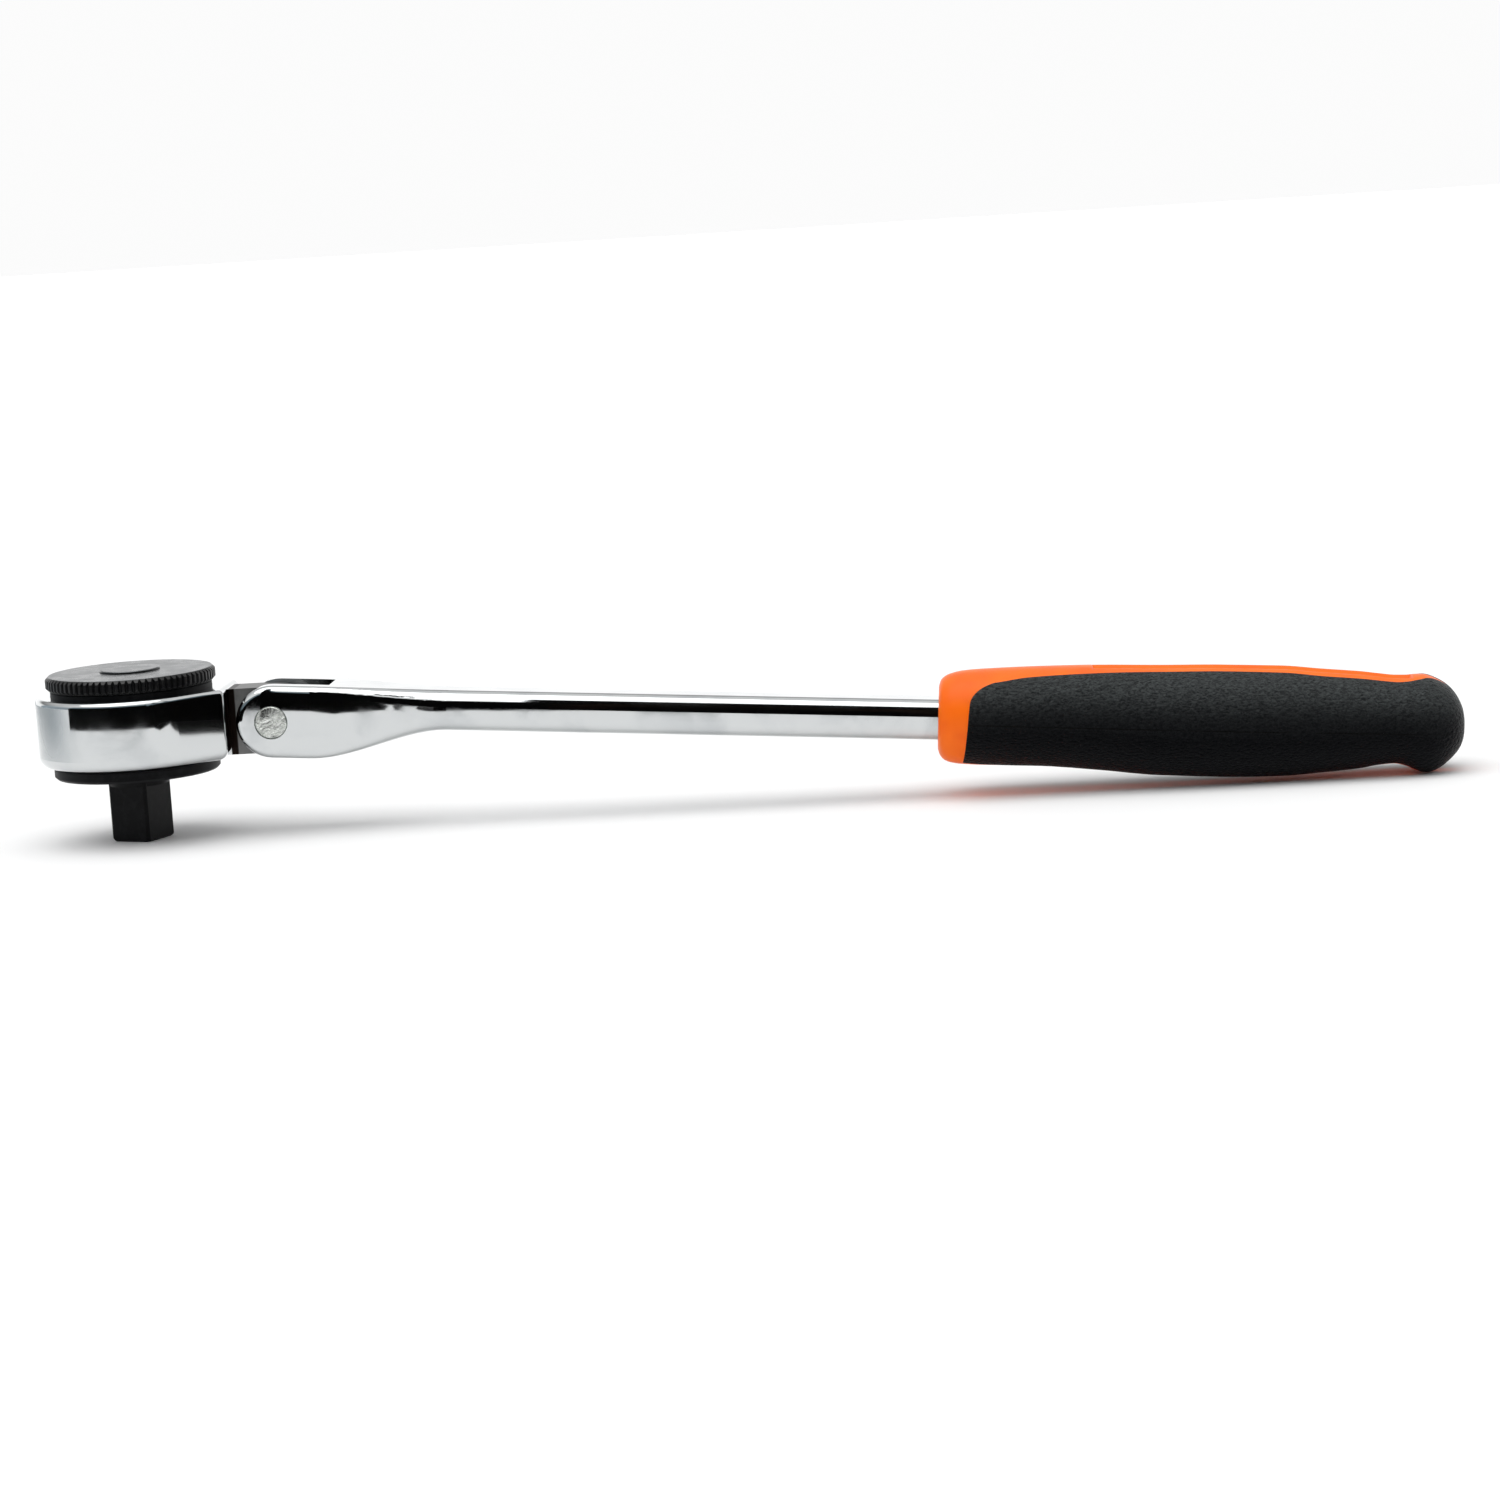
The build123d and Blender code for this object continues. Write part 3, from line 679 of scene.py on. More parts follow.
@dataclass(frozen=True)
class PaleFloor(Finish):
    """Matt pale board that the wrench stands on."""

    name: str = "pale_board"
    level: float = 0.9

    def lay_out(self, bench: Bench) -> None:
        """Lay the nodes out.

        Args:
            bench: Bench of the finish.
        """
        cloud = bench.noise(3, 3, 0.5)
        bench.set(
            Base_Color=bench.blend(cloud, grey(self.level), grey(self.level - 0.015)),
            Roughness=0.85,
            Specular_IOR_Level=0.1,
        )


@dataclass(frozen=True)
class BlackCard(Finish):
    """Studio card that gives the chrome its dark band, dimly lit above a height."""

    name: str = "black_card"
    glow_from: float = 1.0
    glow_fade: float = 8 * MM
    glow: Colour = (0.62, 0.8, 0.9, 1.0)
    brown: Colour = (0.02, 0.011, 0.008, 1.0)

    def lay_out(self, bench: Bench) -> None:
        """Lay the nodes out.

        Args:
            bench: Bench of the finish.
        """
        _, _, height = bench.axes()
        cloud = bench.span(bench.noise(9, 4, 0.6, 0.8), 0.56, 0.75)
        bench.set(
            Base_Color=bench.blend(cloud, grey(0.003), self.brown),
            Roughness=1.0,
            Specular_IOR_Level=0.0,
            Emission_Color=self.glow,
            Emission_Strength=bench.span(height, self.glow_from, self.glow_from + self.glow_fade, 0, 0.3),
        )


@dataclass(frozen=True)
class CoolCard(Finish):
    """Blue-grey studio card that cools the left edge of the chrome."""

    name: str = "cool_card"
    tint: Colour = (0.3, 0.37, 0.41, 1.0)
    fade_out: tuple[float, float] = (-0.24, -0.07)
    fade_in: tuple[float, float] = (-0.14, 0.06)

    def lay_out(self, bench: Bench) -> None:
        """Lay the nodes out.

        Args:
            bench: Bench of the finish.
        """
        east, north, _ = bench.axes()
        cloud = bench.noise(4, 2)
        bench.set(
            Base_Color=bench.blend(cloud, self.tint, grey(0.45)),
            Roughness=1.0,
            Specular_IOR_Level=0.0,
            Alpha=bench.times(bench.span(east, *self.fade_out, 1, 0), bench.span(north, *self.fade_in)),
        )


# ----------------------------------------------------------------- mesh weaver


class Weaver:
    """Gathers the points and faces of one piece."""

    def __init__(self) -> None:
        """Start with nothing."""
        self.points: list[np.ndarray] = []
        self.faces: list[tuple[int, ...]] = []
        self.count = 0

    def grid(self, rows: np.ndarray, closed: bool = False) -> None:
        """Add a sheet of four-sided faces through rows of points.

        Args:
            rows: Points as rows, columns and coordinates, in metres.
            closed: Whether the last column joins the first.
        """
        height, width, _ = rows.shape
        start = self.count
        self.points.append(rows.reshape(-1, 3))
        self.count += height * width
        last = width if closed else width - 1
        for row in range(height - 1):
            for column in range(last):
                after = (column + 1) % width
                here = start + row * width
                there = here + width
                self.faces.append((here + column, here + after, there + after, there + column))

    def piece(self, name: str, material: bpy.types.Material, crease: float = 40.0) -> bpy.types.Object:
        """Turn what was gathered into an object.

        Args:
            name: Name of the object.
            material: Its finish.
            crease: Angle in degrees above which an edge stays sharp.

        Returns:
            The new object, linked to the scene.
        """
        mesh = bpy.data.meshes.new(name)
        mesh.from_pydata(np.concatenate(self.points).tolist(), [], self.faces)
        work = bmesh.new()
        work.from_mesh(mesh)
        bmesh.ops.remove_doubles(work, verts=work.verts, dist=MERGE_DISTANCE)
        bmesh.ops.recalc_face_normals(work, faces=work.faces)
        work.to_mesh(mesh)
        work.free()
        mesh.shade_smooth()
        mesh.set_sharp_from_angle(angle=math.radians(crease))
        mesh.materials.append(material)
        piece = bpy.data.objects.new(name, mesh)
        bpy.context.scene.collection.objects.link(piece)
        return piece


def smooth_through(knots: np.ndarray, values: np.ndarray, at: np.ndarray) -> np.ndarray:
    """Run a smooth curve through knots without overshooting at their peaks.

    Args:
        knots: Places of the knots, rising.
        values: Values at the knots, one column for each quantity.
        at: Places where the curve is read.

    Returns:
        The values there, one row for each place.
    """
    gaps = np.diff(knots)[:, None]
    slopes = np.diff(values, axis=0) / gaps
    tangents = np.empty_like(values)
    tangents[0], tangents[-1] = slopes[0], slopes[-1]
    before, after = slopes[:-1], slopes[1:]
    same = before * after > 0
    total = np.where(same, before + after, 1.0)
    tangents[1:-1] = np.where(same, 2 * before * after / total, 0.0)
    index = np.clip(np.searchsorted(knots, at) - 1, 0, len(knots) - 2)
    share = ((at - knots[index]) / gaps[index, 0])[:, None]
    width = gaps[index]
    square, cube = share**2, share**3
    return (
        (2 * cube - 3 * square + 1) * values[index]
        + (cube - 2 * square + share) * width * tangents[index]
        + (3 * square - 2 * cube) * values[index + 1]
        + (cube - square) * width * tangents[index + 1]
    )


def runs(*parts: tuple[float, float, int]) -> np.ndarray:
    """Join evenly stepped runs that share their ends.

    Args:
        *parts: Start, end and number of points of each run.

    Returns:
        The points of all the runs.
    """
    first, *others = (np.linspace(*part) for part in parts)
    return np.concatenate((first, *(other[1:] for other in others)))


def rounded(
    turn: np.ndarray,
    half_width: np.ndarray | float,
    half_height: np.ndarray | float,
    roundness: float,
) -> tuple[np.ndarray, np.ndarray]:
    """Place points round a section between an ellipse and a rounded box.

    Args:
        turn: Angles round the section, from +Y towards the top.
        half_width: Half width of the section.
        half_height: Half height of the section.
        roundness: 2 for an ellipse, and more for a fuller section.

    Returns:
        Distances across and up from the middle.
    """
    power = 2 / roundness
    cosine, sine = np.cos(turn), np.sin(turn)
    across = np.sign(cosine) * np.abs(cosine) ** power * half_width
    rise = np.sign(sine) * np.abs(sine) ** power * half_height
    return across, rise


def dress(nodes: tuple[str, ...], finish: bpy.types.Material) -> None:
    """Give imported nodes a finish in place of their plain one.

    Args:
        nodes: Names of the nodes.
        finish: Material that they take.
    """
    for name in nodes:
        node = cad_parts[name]
        for index in range(len(node.material_slots)):
            node.material_slots[index].material = finish
        LOG.info("dressed %s in %s", name, finish.name)


# ------------------------------------------------------------------ the wrench


@dataclass(frozen=True)
class HandleAxes:
    """Directions of the drooping handle, measured from its hinge pin."""

    droop_degrees: float = 4.26907
    shank_rise: float = 2.55 * MM

    @property
    def hinge(self) -> Vector:
        """Middle of the hinge pin."""
        low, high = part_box("hinge_pin")
        return (low + high) / 2

    @property
    def along(self) -> Vector:
        """Direction from the hinge towards the pommel."""
        droop = math.radians(self.droop_degrees)
        return Vector((math.cos(droop), 0, -math.sin(droop)))

    @property
    def rise(self) -> Vector:
        """Direction up from the handle."""
        droop = math.radians(self.droop_degrees)
        return Vector((math.sin(droop), 0, math.cos(droop)))

    def points(self, along: np.ndarray, across: np.ndarray, rise: np.ndarray) -> np.ndarray:
        """Place handle measures in the shared frame.

        Args:
            along: Distances along the shank's axis from the hinge.
            across: Distances towards +Y.
            rise: Distances up from the shank's axis.

        Returns:
            Points, with the coordinates in the last dimension.
        """
        start = self.hinge + self.rise * self.shank_rise
        return (
            np.array(start)
            + along[..., None] * np.array(self.along)
            + across[..., None] * np.array((0.0, 1.0, 0.0))
            + rise[..., None] * np.array(self.rise)
        )


@dataclass
class Head:
    """Ratchet head with its drive, cover and gear train."""

    tongue_from: float = 20.95 * MM

    def dress(self) -> None:
        """Dress the forging, the drive and the parts inside."""
        chrome = PolishedChrome(name="polished_chrome_head", satin_from=self.tongue_from)
        dress(("ratchet_head",), chrome.build())
        dress(("drive_body",), BlackOxide().build())
        dress(("cover_plate",), BlackOxide(name="cover_black", roughness=0.42).build())
        dress(("top_seal", "bottom_seal"), SealRubber().build())
        hardened = PlainSteel("hardened_grey", grey(0.32, 0.02), grey(0.22, 0.02))
        dress(("pawl", "pawl_pin", "pawl_plunger", "cover_screws", "detent_ball"), hardened.build())
        spring = PlainSteel("drawn_spring_wire", grey(0.5), grey(0.36), rough=0.22)
        dress(("plunger_spring", "dial_retaining_ring", "spindle_clip", "release_spring"), spring.build())
        dress(("release_spindle",), PlainSteel("ground_spindle", grey(0.55), grey(0.42)).build())


@dataclass
class Dial:
    """Knurled reversing dial and the release button in its middle."""

    def dress(self) -> None:
        """Dress the dial and the button."""
        dress(("reversing_dial",), DialBlack().build())
        dress(("release_button",), DialBlack(name="satin_black_button", turned_from=35.8 * MM).build())


@dataclass
class Shank:
    """Yoke and shank of the handle, with the hinge pin and its friction plunger."""

    def dress(self) -> None:
        """Dress the handle's steel."""
        dress(("handle_shaft",), PolishedChrome(name="polished_chrome_handle").build())
        dress(("hinge_pin",), PeenedSteel().build())
        dress(("flex_plunger",), PlainSteel("ground_plunger", grey(0.5), grey(0.4)).build())
        dress(("flex_spring",), PlainSteel("flex_spring_wire", grey(0.5), grey(0.36), rough=0.22).build())


@dataclass
class Grip:
    """Two-colour moulded grip: an orange core between two soft black panels."""

    axes: HandleAxes
    start: float = 137.3 * MM
    length: float = 107.5 * MM
    roundness: float = 2.35
    shank_half_width: float = 6.25 * MM
    shank_half_height: float = 4.2 * MM
    lip_depth: float = 1.5 * MM
    label_from: float = 31.5 * MM
    label_to: float = 96.5 * MM
    label_half_width: float = 3.1 * MM
    label_depth: float = 0.75 * MM
    label_wall: float = 0.7 * MM
    panel_proud: float = 0.16 * MM
    panel_sunk: float = 0.3 * MM
    panel_edge: float = 0.55 * MM
    panel_front: float = 6.6 * MM
    panel_slant: float = 1.6 * MM
    panel_end_gap: float = 0.02 * MM
    panel_down: tuple[tuple[float, float, int], ...] = ((0, 0.06, 10), (0.06, 0.94, 90), (0.94, 1, 10))
    panel_back: tuple[tuple[float, float, int], ...] = ((0, 0.02, 10), (0.02, 0.9, 190), (0.9, 1, 60))
    panel_crease: float = 60.0
    corner_length: float = 6.5 * MM
    corner_share: float = 0.24
    widest_share: float = 0.98
    eased_front: float = 8 * MM
    eased_back: float = 9 * MM
    eased_steps: int = 70
    core_steps: int = 260
    wall_steps: int = 13
    least_step: float = 0.02 * MM
    crown_degrees: tuple[float, float] = (50.0, 130.0)
    crown_steps: int = 90
    round_steps: int = 110
    outline_steps: int = 4000
    # rings of the front face: share of the way in to the shank, and share of the lip's depth
    lip_rings: tuple[tuple[float, float], ...] = (
        (0.0, 0.0),
        (0.35, 0.0),
        (0.8, 0.0),
        (0.97, 0.12),
        (1.0, 0.4),
        (1.0, 1.0),
    )
    lip_fullness: float = 3.0
    # along the grip: place, top, bottom and half width, in millimetres
    stations: tuple[tuple[float, float, float, float], ...] = (
        (0.0, 6.6, -6.4, 7.2),
        (0.35, 7.7, -7.4, 8.2),
        (1.1, 8.5, -8.35, 9.05),
        (2.4, 9.15, -8.95, 9.8),
        (5.0, 9.8, -9.3, 10.4),
        (10.0, 10.3, -9.4, 10.8),
        (20.8, 11.0, -9.25, 11.1),
        (33.1, 11.5, -9.8, 11.5),
        (45.4, 11.7, -10.6, 11.9),
        (57.7, 12.0, -10.7, 12.0),
        (70.0, 12.05, -10.3, 11.9),
        (78.1, 11.6, -9.5, 11.5),
        (86.3, 11.2, -8.5, 11.1),
        (90.0, 10.85, -7.75, 10.9),
        (93.5, 10.6, -7.35, 10.8),
        (95.6, 10.65, -7.75, 10.8),
        (97.5, 10.85, -8.5, 10.7),
        (98.8, 10.9, -8.85, 10.6),
        (100.1, 10.65, -8.88, 10.4),
        (101.6, 10.05, -8.45, 9.95),
        (102.9, 9.4, -7.7, 9.4),
        (104.2, 8.5, -6.6, 8.6),
        (105.3, 7.4, -5.5, 7.6),
        (106.2, 6.0, -4.4, 6.4),
        (106.9, 4.5, -3.1, 4.9),
        (107.3, 2.9, -1.7, 3.2),
        (107.5, 0.6, 0.4, 0.02),
    )
    # half widths of the orange strips over the top and under the bottom, in millimetres
    strips: tuple[tuple[float, float, float], ...] = (
        (0.0, 8.0, 5.5),
        (12.0, 7.2, 4.4),
        (18.0, 6.3, 3.4),
        (30.0, 5.6, 2.8),
        (45.0, 4.9, 2.6),
        (60.0, 4.8, 2.8),
        (80.0, 5.2, 4.0),
        (93.0, 5.1, 4.9),
        (97.5, 4.2, 4.2),
        (100.5, 2.3, 2.2),
        (102.5, 1.2, 1.4),
        (105.0, 0.8, 0.9),
        (107.5, 0.35, 0.35),
    )

    def profile(self, along: np.ndarray) -> tuple[np.ndarray, np.ndarray, np.ndarray]:
        """Read the grip's outline.

        Args:
            along: Distances from the front of the grip, in metres.

        Returns:
            Height of the middle, half height and half width.
        """
        table = np.array(self.stations) * MM
        pieces = np.hypot(np.diff(table[:, 0]), np.diff(table[:, 1]))
        chord = np.concatenate(([0.0], np.cumsum(pieces)))
        fine = np.linspace(0, chord[-1], self.outline_steps)
        curve = smooth_through(chord, table, fine)
        place = np.maximum.accumulate(curve[:, 0])
        top, bottom, half = (np.interp(along, place, curve[:, column]) for column in (1, 2, 3))
        return (top + bottom) / 2, (top - bottom) / 2, half

    def strip(self, along: np.ndarray, column: int) -> np.ndarray:
        """Read a strip's half width, 1 for the top strip and 2 for the bottom one."""
        table = np.array(self.strips) * MM
        return smooth_through(table[:, 0], table[:, [column]], along.ravel())[:, 0].reshape(along.shape)

    def label_dip(self, along: np.ndarray, across: np.ndarray) -> np.ndarray:
        """Measure how deep the plain label recess is at a place of the top strip.

        Args:
            along: Distances from the front of the grip.
            across: Distances towards +Y.

        Returns:
            Depths of the recess.
        """
        wall = self.label_wall
        middle = (self.label_from + self.label_to) / 2
        half = (self.label_to - self.label_from) / 2
        ends = half - np.abs(along - middle)
        sides = self.label_half_width - np.abs(across)
        inside = np.clip(np.minimum(ends, sides) / wall + 0.5, 0, 1)
        return self.label_depth * inside * inside * (3 - 2 * inside)

    def surface(self, along: np.ndarray, turn: np.ndarray, lift: np.ndarray) -> np.ndarray:
        """Place points of the grip's skin.

        Args:
            along: Distances from the front of the grip.
            turn: Angles round the section, from +Y towards the top.
            lift: Distances out from the skin.

        Returns:
            Points in the shared frame.
        """
        middle, high, wide = self.profile(along)
        across, rise = rounded(turn, wide + lift, high + lift, self.roundness)
        return self.axes.points(self.start + along, across, middle + rise)

    def edge_turn(self, along: np.ndarray, half: np.ndarray) -> np.ndarray:
        """Find where the skin is as far across as a strip's edge.

        Args:
            along: Distances from the front of the grip.
            half: Half widths of the strip there.

        Returns:
            Angles from +Y.
        """
        _, _, wide = self.profile(along)
        share = np.clip(half / np.maximum(wide, MERGE_DISTANCE), 0, self.widest_share)
        return np.arccos(share ** (self.roundness / 2))

    def core_places(self) -> np.ndarray:
        """Choose where the core's rings stand, close together at its ends and at the recess's walls.

        Returns:
            Distances from the front of the grip.
        """
        ease = 0.5 - 0.5 * np.cos(np.linspace(0, math.pi, self.eased_steps))
        wall = np.linspace(-1, 1, self.wall_steps) * self.label_wall
        parts = (
            self.eased_front * ease,
            np.linspace(self.eased_front, self.length, self.core_steps),
            self.length - self.eased_back * ease,
            self.label_from + wall,
            self.label_to + wall,
        )
        along = np.unique(np.concatenate(parts))
        return along[np.concatenate(([True], np.diff(along) > self.least_step))]

    def core_turns(self) -> np.ndarray:
        """Choose the angles round the core, closer together over the top.

        Returns:
            Angles from +Y towards the top.
        """
        begin, end = np.radians(self.crown_degrees)
        crown = np.linspace(begin, end, self.crown_steps)
        rest = np.linspace(end, begin + 2 * math.pi, self.round_steps)[1:-1]
        return np.concatenate((crown, rest))

    def hand_over(self, piece: bpy.types.Object, node: str) -> None:
        """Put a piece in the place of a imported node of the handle.

        Args:
            piece: The new piece.
            node: Name of the node that it replaces.
        """
        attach(piece, "handle")
        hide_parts(node)
        LOG.info("built %s", piece.name)

    def build_core(self, material: bpy.types.Material) -> None:
        """Model the orange core as one closed skin with a collar, a label recess and a hole for the shank.

        Args:
            material: Finish of the core.
        """
        turn = self.core_turns()
        places, turns = np.meshgrid(self.core_places(), turn, indexing="ij")
        _, high, wide = self.profile(places)
        across, rise = rounded(turns, wide, high, self.roundness)
        dip = self.label_dip(places, across) * (rise > 0)
        weaver = Weaver()
        weaver.grid(self.surface(places, turns, -dip), closed=True)
        self.front_face(weaver, turn)
        self.hand_over(weaver.piece("grip_core_moulding", material), "grip_core")

    def front_face(self, weaver: Weaver, turn: np.ndarray) -> None:
        """Close the front of the core down to the shank and into its socket.

        Args:
            weaver: Weaver that takes the rings.
            turn: Angles round the section.
        """
        (middle,), (high,), (wide,) = self.profile(np.zeros(1))
        rings = []
        for share, depth in self.lip_rings:
            half_width = wide + share * (self.shank_half_width - wide)
            half_height = high + share * (self.shank_half_height - high)
            roundness = self.roundness + share * self.lip_fullness
            across, rise = rounded(turn, half_width, half_height, roundness)
            place = np.full_like(turn, self.start + depth * self.lip_depth)
            rings.append(self.axes.points(place, across, middle * (1 - share) + rise))
        weaver.grid(np.array(rings), closed=True)

    def build_panel(self, side: Side, material: bpy.types.Material) -> None:
        """Model one soft panel as a shell whose edges sink into the core.

        Args:
            side: Side of the grip.
            material: Finish of the panel.
        """
        shares, falls = np.meshgrid(runs(*self.panel_back), runs(*self.panel_down), indexing="ij")
        corner = self.corner_length * (1 - np.sqrt(1 - np.clip(1 - falls / self.corner_share, 0, 1) ** 2))
        front = self.panel_front - self.panel_slant * falls + corner
        along = front + shares * (self.length - self.panel_end_gap - front)
        high = self.edge_turn(along, self.strip(along, 1))
        low = -self.edge_turn(along, self.strip(along, 2))
        turn = high + falls * (low - high)
        _, _, wide = self.profile(along)
        reach = wide * (high - low)
        to_edge = np.minimum.reduce((falls * reach, (1 - falls) * reach, along - front))
        near = np.clip(1 - to_edge / self.panel_edge, 0, 1)
        lift = self.panel_proud - (self.panel_proud + self.panel_sunk) * near**3
        weaver = Weaver()
        weaver.grid(self.surface(along, turn if side is Side.LEFT else math.pi - turn, lift))
        node = f"grip_panel_{side.name.lower()}"
        self.hand_over(weaver.piece(f"{node}_shell", material, self.panel_crease), node)

    def build(self) -> None:
        """Build the core and both panels."""
        self.build_core(MouldedOrange().build())
        start = self.axes.hinge + self.axes.rise * self.axes.shank_rise
        rubber = GrainedRubber("grained_rubber", self.axes.rise, start).build()
        for side in Side:
            self.build_panel(side, rubber)


# ------------------------------------------------------------------ the studio


@dataclass
class Dome:
    """Soft surroundings: dark low in front, bright above, cooler on the left."""

    backdrop: float = 0.97
    # each stop is the height on the dome, from 0 at the horizon to 1 overhead, and its colour
    front: tuple[tuple[float, Colour], ...] = (
        (0.0, grey(0.012)),
        (0.40, grey(0.012)),
        (0.47, grey(1.05)),
        (0.90, grey(1.05)),
        (0.93, grey(0.12)),
        (0.96, grey(0.12)),
        (0.98, grey(1.0)),
    )
    back: tuple[tuple[float, Colour], ...] = (
        (0.0, grey(1.3)),
        (0.22, grey(1.2)),
        (0.34, grey(0.25)),
        (0.6, grey(0.7)),
        (1.0, grey(1.0)),
    )
    left: tuple[tuple[float, Colour], ...] = (
        (0.0, (0.36, 0.42, 0.47, 1)),
        (0.35, (0.4, 0.46, 0.5, 1)),
        (0.6, grey(0.95)),
        (1.0, grey(1.0)),
    )
    back_span: tuple[float, float] = (-0.25, 0.2)
    left_span: tuple[float, float] = (-0.78, -0.86)

    def build(self) -> None:
        """Paint the dome on the scene's world."""
        world = bpy.data.worlds.new("studio_dome")
        bpy.context.scene.world = world
        world.use_nodes = True
        world.node_tree.nodes.clear()
        board = Board(world.node_tree)
        east, north, up = board.split(board.add("ShaderNodeTexCoord").outputs["Generated"])
        front, back, left = (board.ramp(up, stops) for stops in (self.front, self.back, self.left))
        behind = board.span(north, *self.back_span)
        leftward = board.span(east, *self.left_span)
        colour = board.blend(leftward, board.blend(behind, front, back), left)
        seen = board.add("ShaderNodeLightPath").outputs["Is Camera Ray"]
        background = board.add("ShaderNodeBackground")
        board.feed(background.inputs["Color"], board.blend(seen, colour, grey(self.backdrop)))
        board.feed(board.add("ShaderNodeOutputWorld").inputs[0], background.outputs[0])


@dataclass
class Studio:
    """Pale floor, soft light and the cards that show in the chrome."""

    floor_half: float = 6.0
    floor_gap: float = 0.02 * MM
    card_near: float = -0.214
    card_far: float = -4.0
    card_height: float = 0.4 * MM
    card_left_degrees: float = 58.0
    card_right: float = 3.0
    # left, right, near and far edges of the flat cards
    grip_card: Edges = (0.174, 0.6, -0.02, -0.214)
    cool_card: Edges = (-2.0, -0.05, 1.4, -0.14)
    arc_radius: float = 62 * MM
    arc_right_degrees: float = 32.0
    arc_steps: int = 41
    arc_high: float = 60 * MM
    arc_glow_from: float = 38 * MM
    band_low: float = 25.4 * MM
    barrel_front: float = 21 * MM
    sight_slope: float = 0.128
    # points along the lower edges of the straight strips, in millimetres
    near_strip: tuple[Triple, ...] = (
        (28, -10.5, 24.3),
        (28, -20, 24.1),
        (28, -34, 23.4),
        (32.5, -52.5, 20.2),
    )
    near_strip_high: float = 48 * MM
    fence: tuple[Triple, ...] = (
        (32.9, -52.6, 20.0),
        (44, -57, 18.2),
        (60, -60, 17.2),
        (100, -62, 14.6),
        (180, -62, 9.0),
        (260, -62, 3.4),
    )
    fence_high: float = 75 * MM
    upper_fence: tuple[Triple, ...] = ((78, -62, 74), (180, -62, 74), (300, -62, 74))
    upper_fence_high: float = 150 * MM
    key_strength: float = 1.5
    key_softness_degrees: float = 60.0
    key_tilt_degrees: Triple = (12.0, -8.0, 0.0)

    def flat(self, name: str, corners: list[Triple], finish: bpy.types.Material) -> bpy.types.Object:
        """Make a flat sheet of the studio.

        Args:
            name: Name of the sheet.
            corners: Its corners in metres.
            finish: Its finish.

        Returns:
            The sheet.
        """
        mesh = bpy.data.meshes.new(name)
        mesh.from_pydata(corners, [], [tuple(range(len(corners)))])
        mesh.materials.append(finish)
        sheet = bpy.data.objects.new(name, mesh)
        bpy.context.scene.collection.objects.link(sheet)
        return sheet

    def build_floor(self) -> None:
        """Lay the pale floor just under the wrench."""
        low = CAD_BOX[0][2] - self.floor_gap
        half = self.floor_half
        corners = [(-half, -half, low), (half, -half, low), (half, half, low), (-half, half, low)]
        self.flat("studio_floor", corners, PaleFloor().build())

    def lay_card(self, name: str, edges: Edges, finish: bpy.types.Material) -> None:
        """Lay a flat card that only reflections see.

        Args:
            name: Name of the card.
            edges: Its left, right, near and far edges.
            finish: Its finish.
        """
        left, right, near, far = edges
        level = self.card_height
        corners = [(left, near, level), (left, far, level), (right, far, level), (right, near, level)]
        self.hide_but_in_chrome(self.flat(name, corners, finish))

    def build_cards(self) -> None:
        """Lay the flat cards: a dark one in front, one by the grip and a cool one on the left."""
        slope = math.tan(math.radians(self.card_left_degrees))
        corners = [
            (self.card_near * slope, self.card_near, self.card_height),
            (self.card_far * slope, self.card_far, self.card_height),
            (self.card_right, self.card_far, self.card_height),
            (self.card_right, self.card_near, self.card_height),
        ]
        finish = BlackCard().build()
        self.hide_but_in_chrome(self.flat("studio_card", corners, finish))
        self.lay_card("studio_grip_card", self.grip_card, finish)
        self.lay_card("studio_cool_card", self.cool_card, CoolCard().build())

    def hide_but_in_chrome(self, card: bpy.types.Object) -> None:
        """Let only reflections see a card.

        Args:
            card: Card or strip that the camera doesn't see.
        """
        card.visible_camera = False
        card.visible_diffuse = False
        card.visible_shadow = False
        card.visible_transmission = False

    def stand_strip(self, name: str, foot: np.ndarray, high: float, finish: bpy.types.Material) -> None:
        """Stand a dark strip that only reflections see.

        Args:
            name: Name of the strip.
            foot: Points along its lower edge.
            high: Height of its upper edge.
            finish: Its finish.
        """
        head = foot.copy()
        head[:, 2] = high
        weaver = Weaver()
        weaver.grid(np.array((foot, head)))
        strip = weaver.piece(name, finish)
        self.hide_but_in_chrome(strip)

    def arc_foot(self) -> np.ndarray:
        """Find the lower edge of the bent strip, so that its image ends level on the barrel.

        Returns:
            Points along the edge.
        """
        ends = (-self.card_left_degrees, self.arc_right_degrees)
        turns = np.radians(np.linspace(*ends, self.arc_steps))
        level = self.band_low - self.sight_slope * (self.arc_radius - self.barrel_front)
        low = np.full_like(turns, level)
        return np.stack((np.sin(turns) * self.arc_radius, -np.cos(turns) * self.arc_radius, low), axis=-1)

    def build_strips(self) -> None:
        """Stand the bent strip round the head and the straight ones beside the neck and the handle."""
        bent = BlackCard(name="black_arc_card", glow_from=self.arc_glow_from).build()
        plain = BlackCard(name="black_fence_card").build()
        self.stand_strip("studio_arc", self.arc_foot(), self.arc_high, bent)
        straight = (
            ("studio_near_strip", self.near_strip, self.near_strip_high, bent),
            ("studio_fence", self.fence, self.fence_high, plain),
            ("studio_upper_fence", self.upper_fence, self.upper_fence_high, plain),
        )
        for name, foot, high, finish in straight:
            self.stand_strip(name, np.array(foot, float) * MM, high, finish)

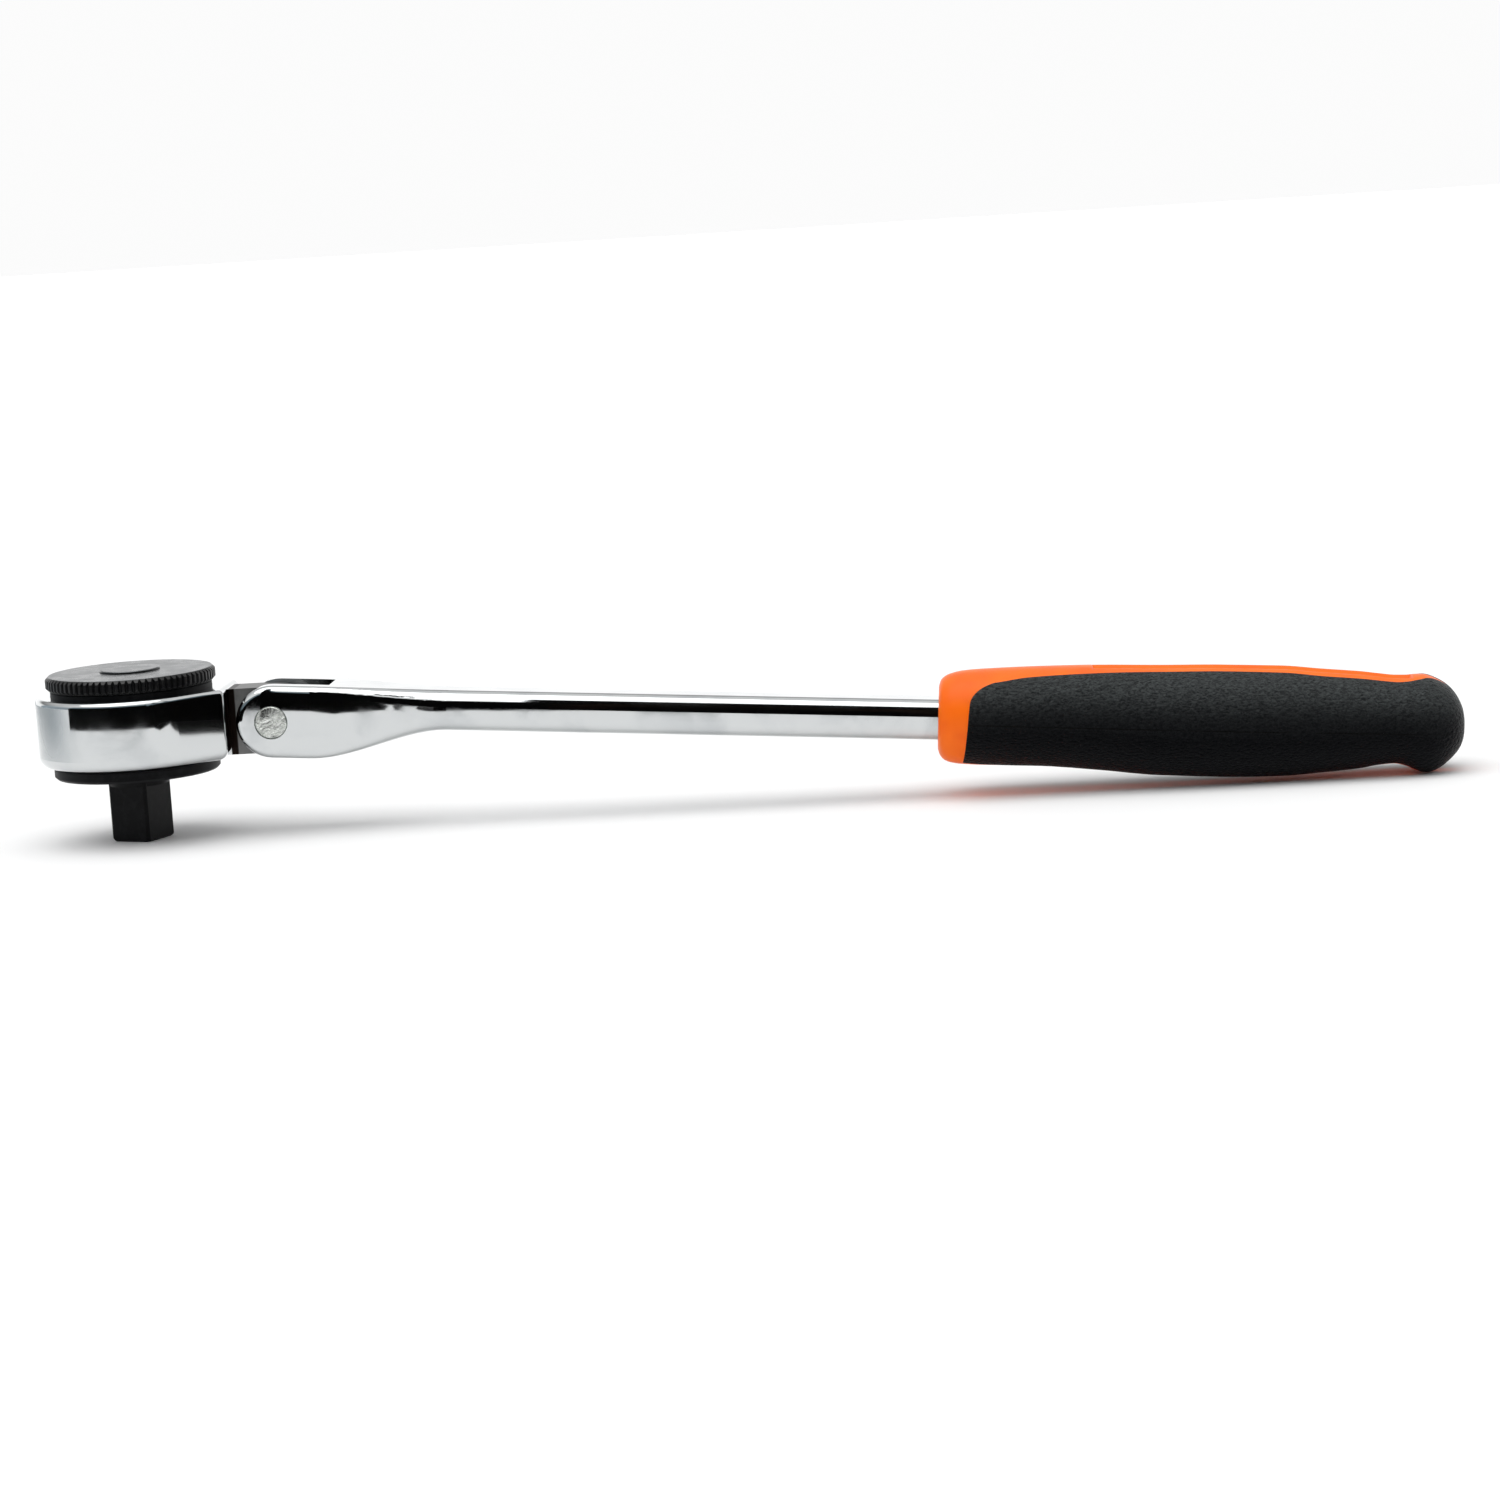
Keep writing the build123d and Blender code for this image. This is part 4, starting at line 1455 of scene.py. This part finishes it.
    def build_light(self) -> None:
        """Hang a broad soft light overhead."""
        lamp = bpy.data.lights.new("overhead_light", "SUN")
        lamp.energy = self.key_strength
        lamp.angle = math.radians(self.key_softness_degrees)
        light = bpy.data.objects.new("overhead_light", lamp)
        light.rotation_euler = [math.radians(tilt) for tilt in self.key_tilt_degrees]
        bpy.context.scene.collection.objects.link(light)

    def build(self) -> None:
        """Set the whole studio up."""
        self.build_floor()
        self.build_cards()
        self.build_strips()
        self.build_light()
        Dome().build()
        bpy.context.scene.view_settings.view_transform = "Standard"
        LOG.info("set up the studio")


@dataclass
class Viewpoint:
    """Camera in front of the wrench, a little above it and slightly rolled."""

    turn_degrees: float = 3.74
    height_degrees: float = 8.22
    roll_degrees: float = -3.61
    distance: float = 862.6 * MM
    target: Triple = (128.1 * MM, 0.0, 11.75 * MM)
    lens: float = 100.0
    sensor_width: float = 36.0
    sight_end: float = 60.0

    def build(self) -> None:
        """Place the camera and make it the scene's own."""
        turn = math.radians(self.turn_degrees)
        height = math.radians(self.height_degrees)
        roll = math.radians(self.roll_degrees)
        away = Vector((math.sin(turn), -math.cos(turn), 0))
        back = away * math.cos(height) + Vector((0, 0, math.sin(height)))
        right = Vector((math.cos(turn), math.sin(turn), 0))
        up = back.cross(right)
        side = right * math.cos(roll) + up * math.sin(roll)
        top = up * math.cos(roll) - right * math.sin(roll)
        lens = bpy.data.cameras.new("studio_camera")
        lens.lens = self.lens
        lens.sensor_width = self.sensor_width
        lens.clip_end = self.sight_end
        camera = bpy.data.objects.new("studio_camera", lens)
        turned = Matrix((side, top, back)).transposed().to_4x4()
        place = Vector(self.target) + back * self.distance
        camera.matrix_world = Matrix.Translation(place) @ turned
        bpy.context.scene.collection.objects.link(camera)
        bpy.context.scene.camera = camera
        LOG.info("placed the camera")


def main() -> None:
    """Build the wrench, the studio and the camera in order."""
    logging.basicConfig(level=logging.INFO, format="%(name)s: %(message)s")
    Head().dress()
    Dial().dress()
    Shank().dress()
    Grip(axes=HandleAxes()).build()
    Studio().build()
    Viewpoint().build()


if __name__ == "__main__":
    main()
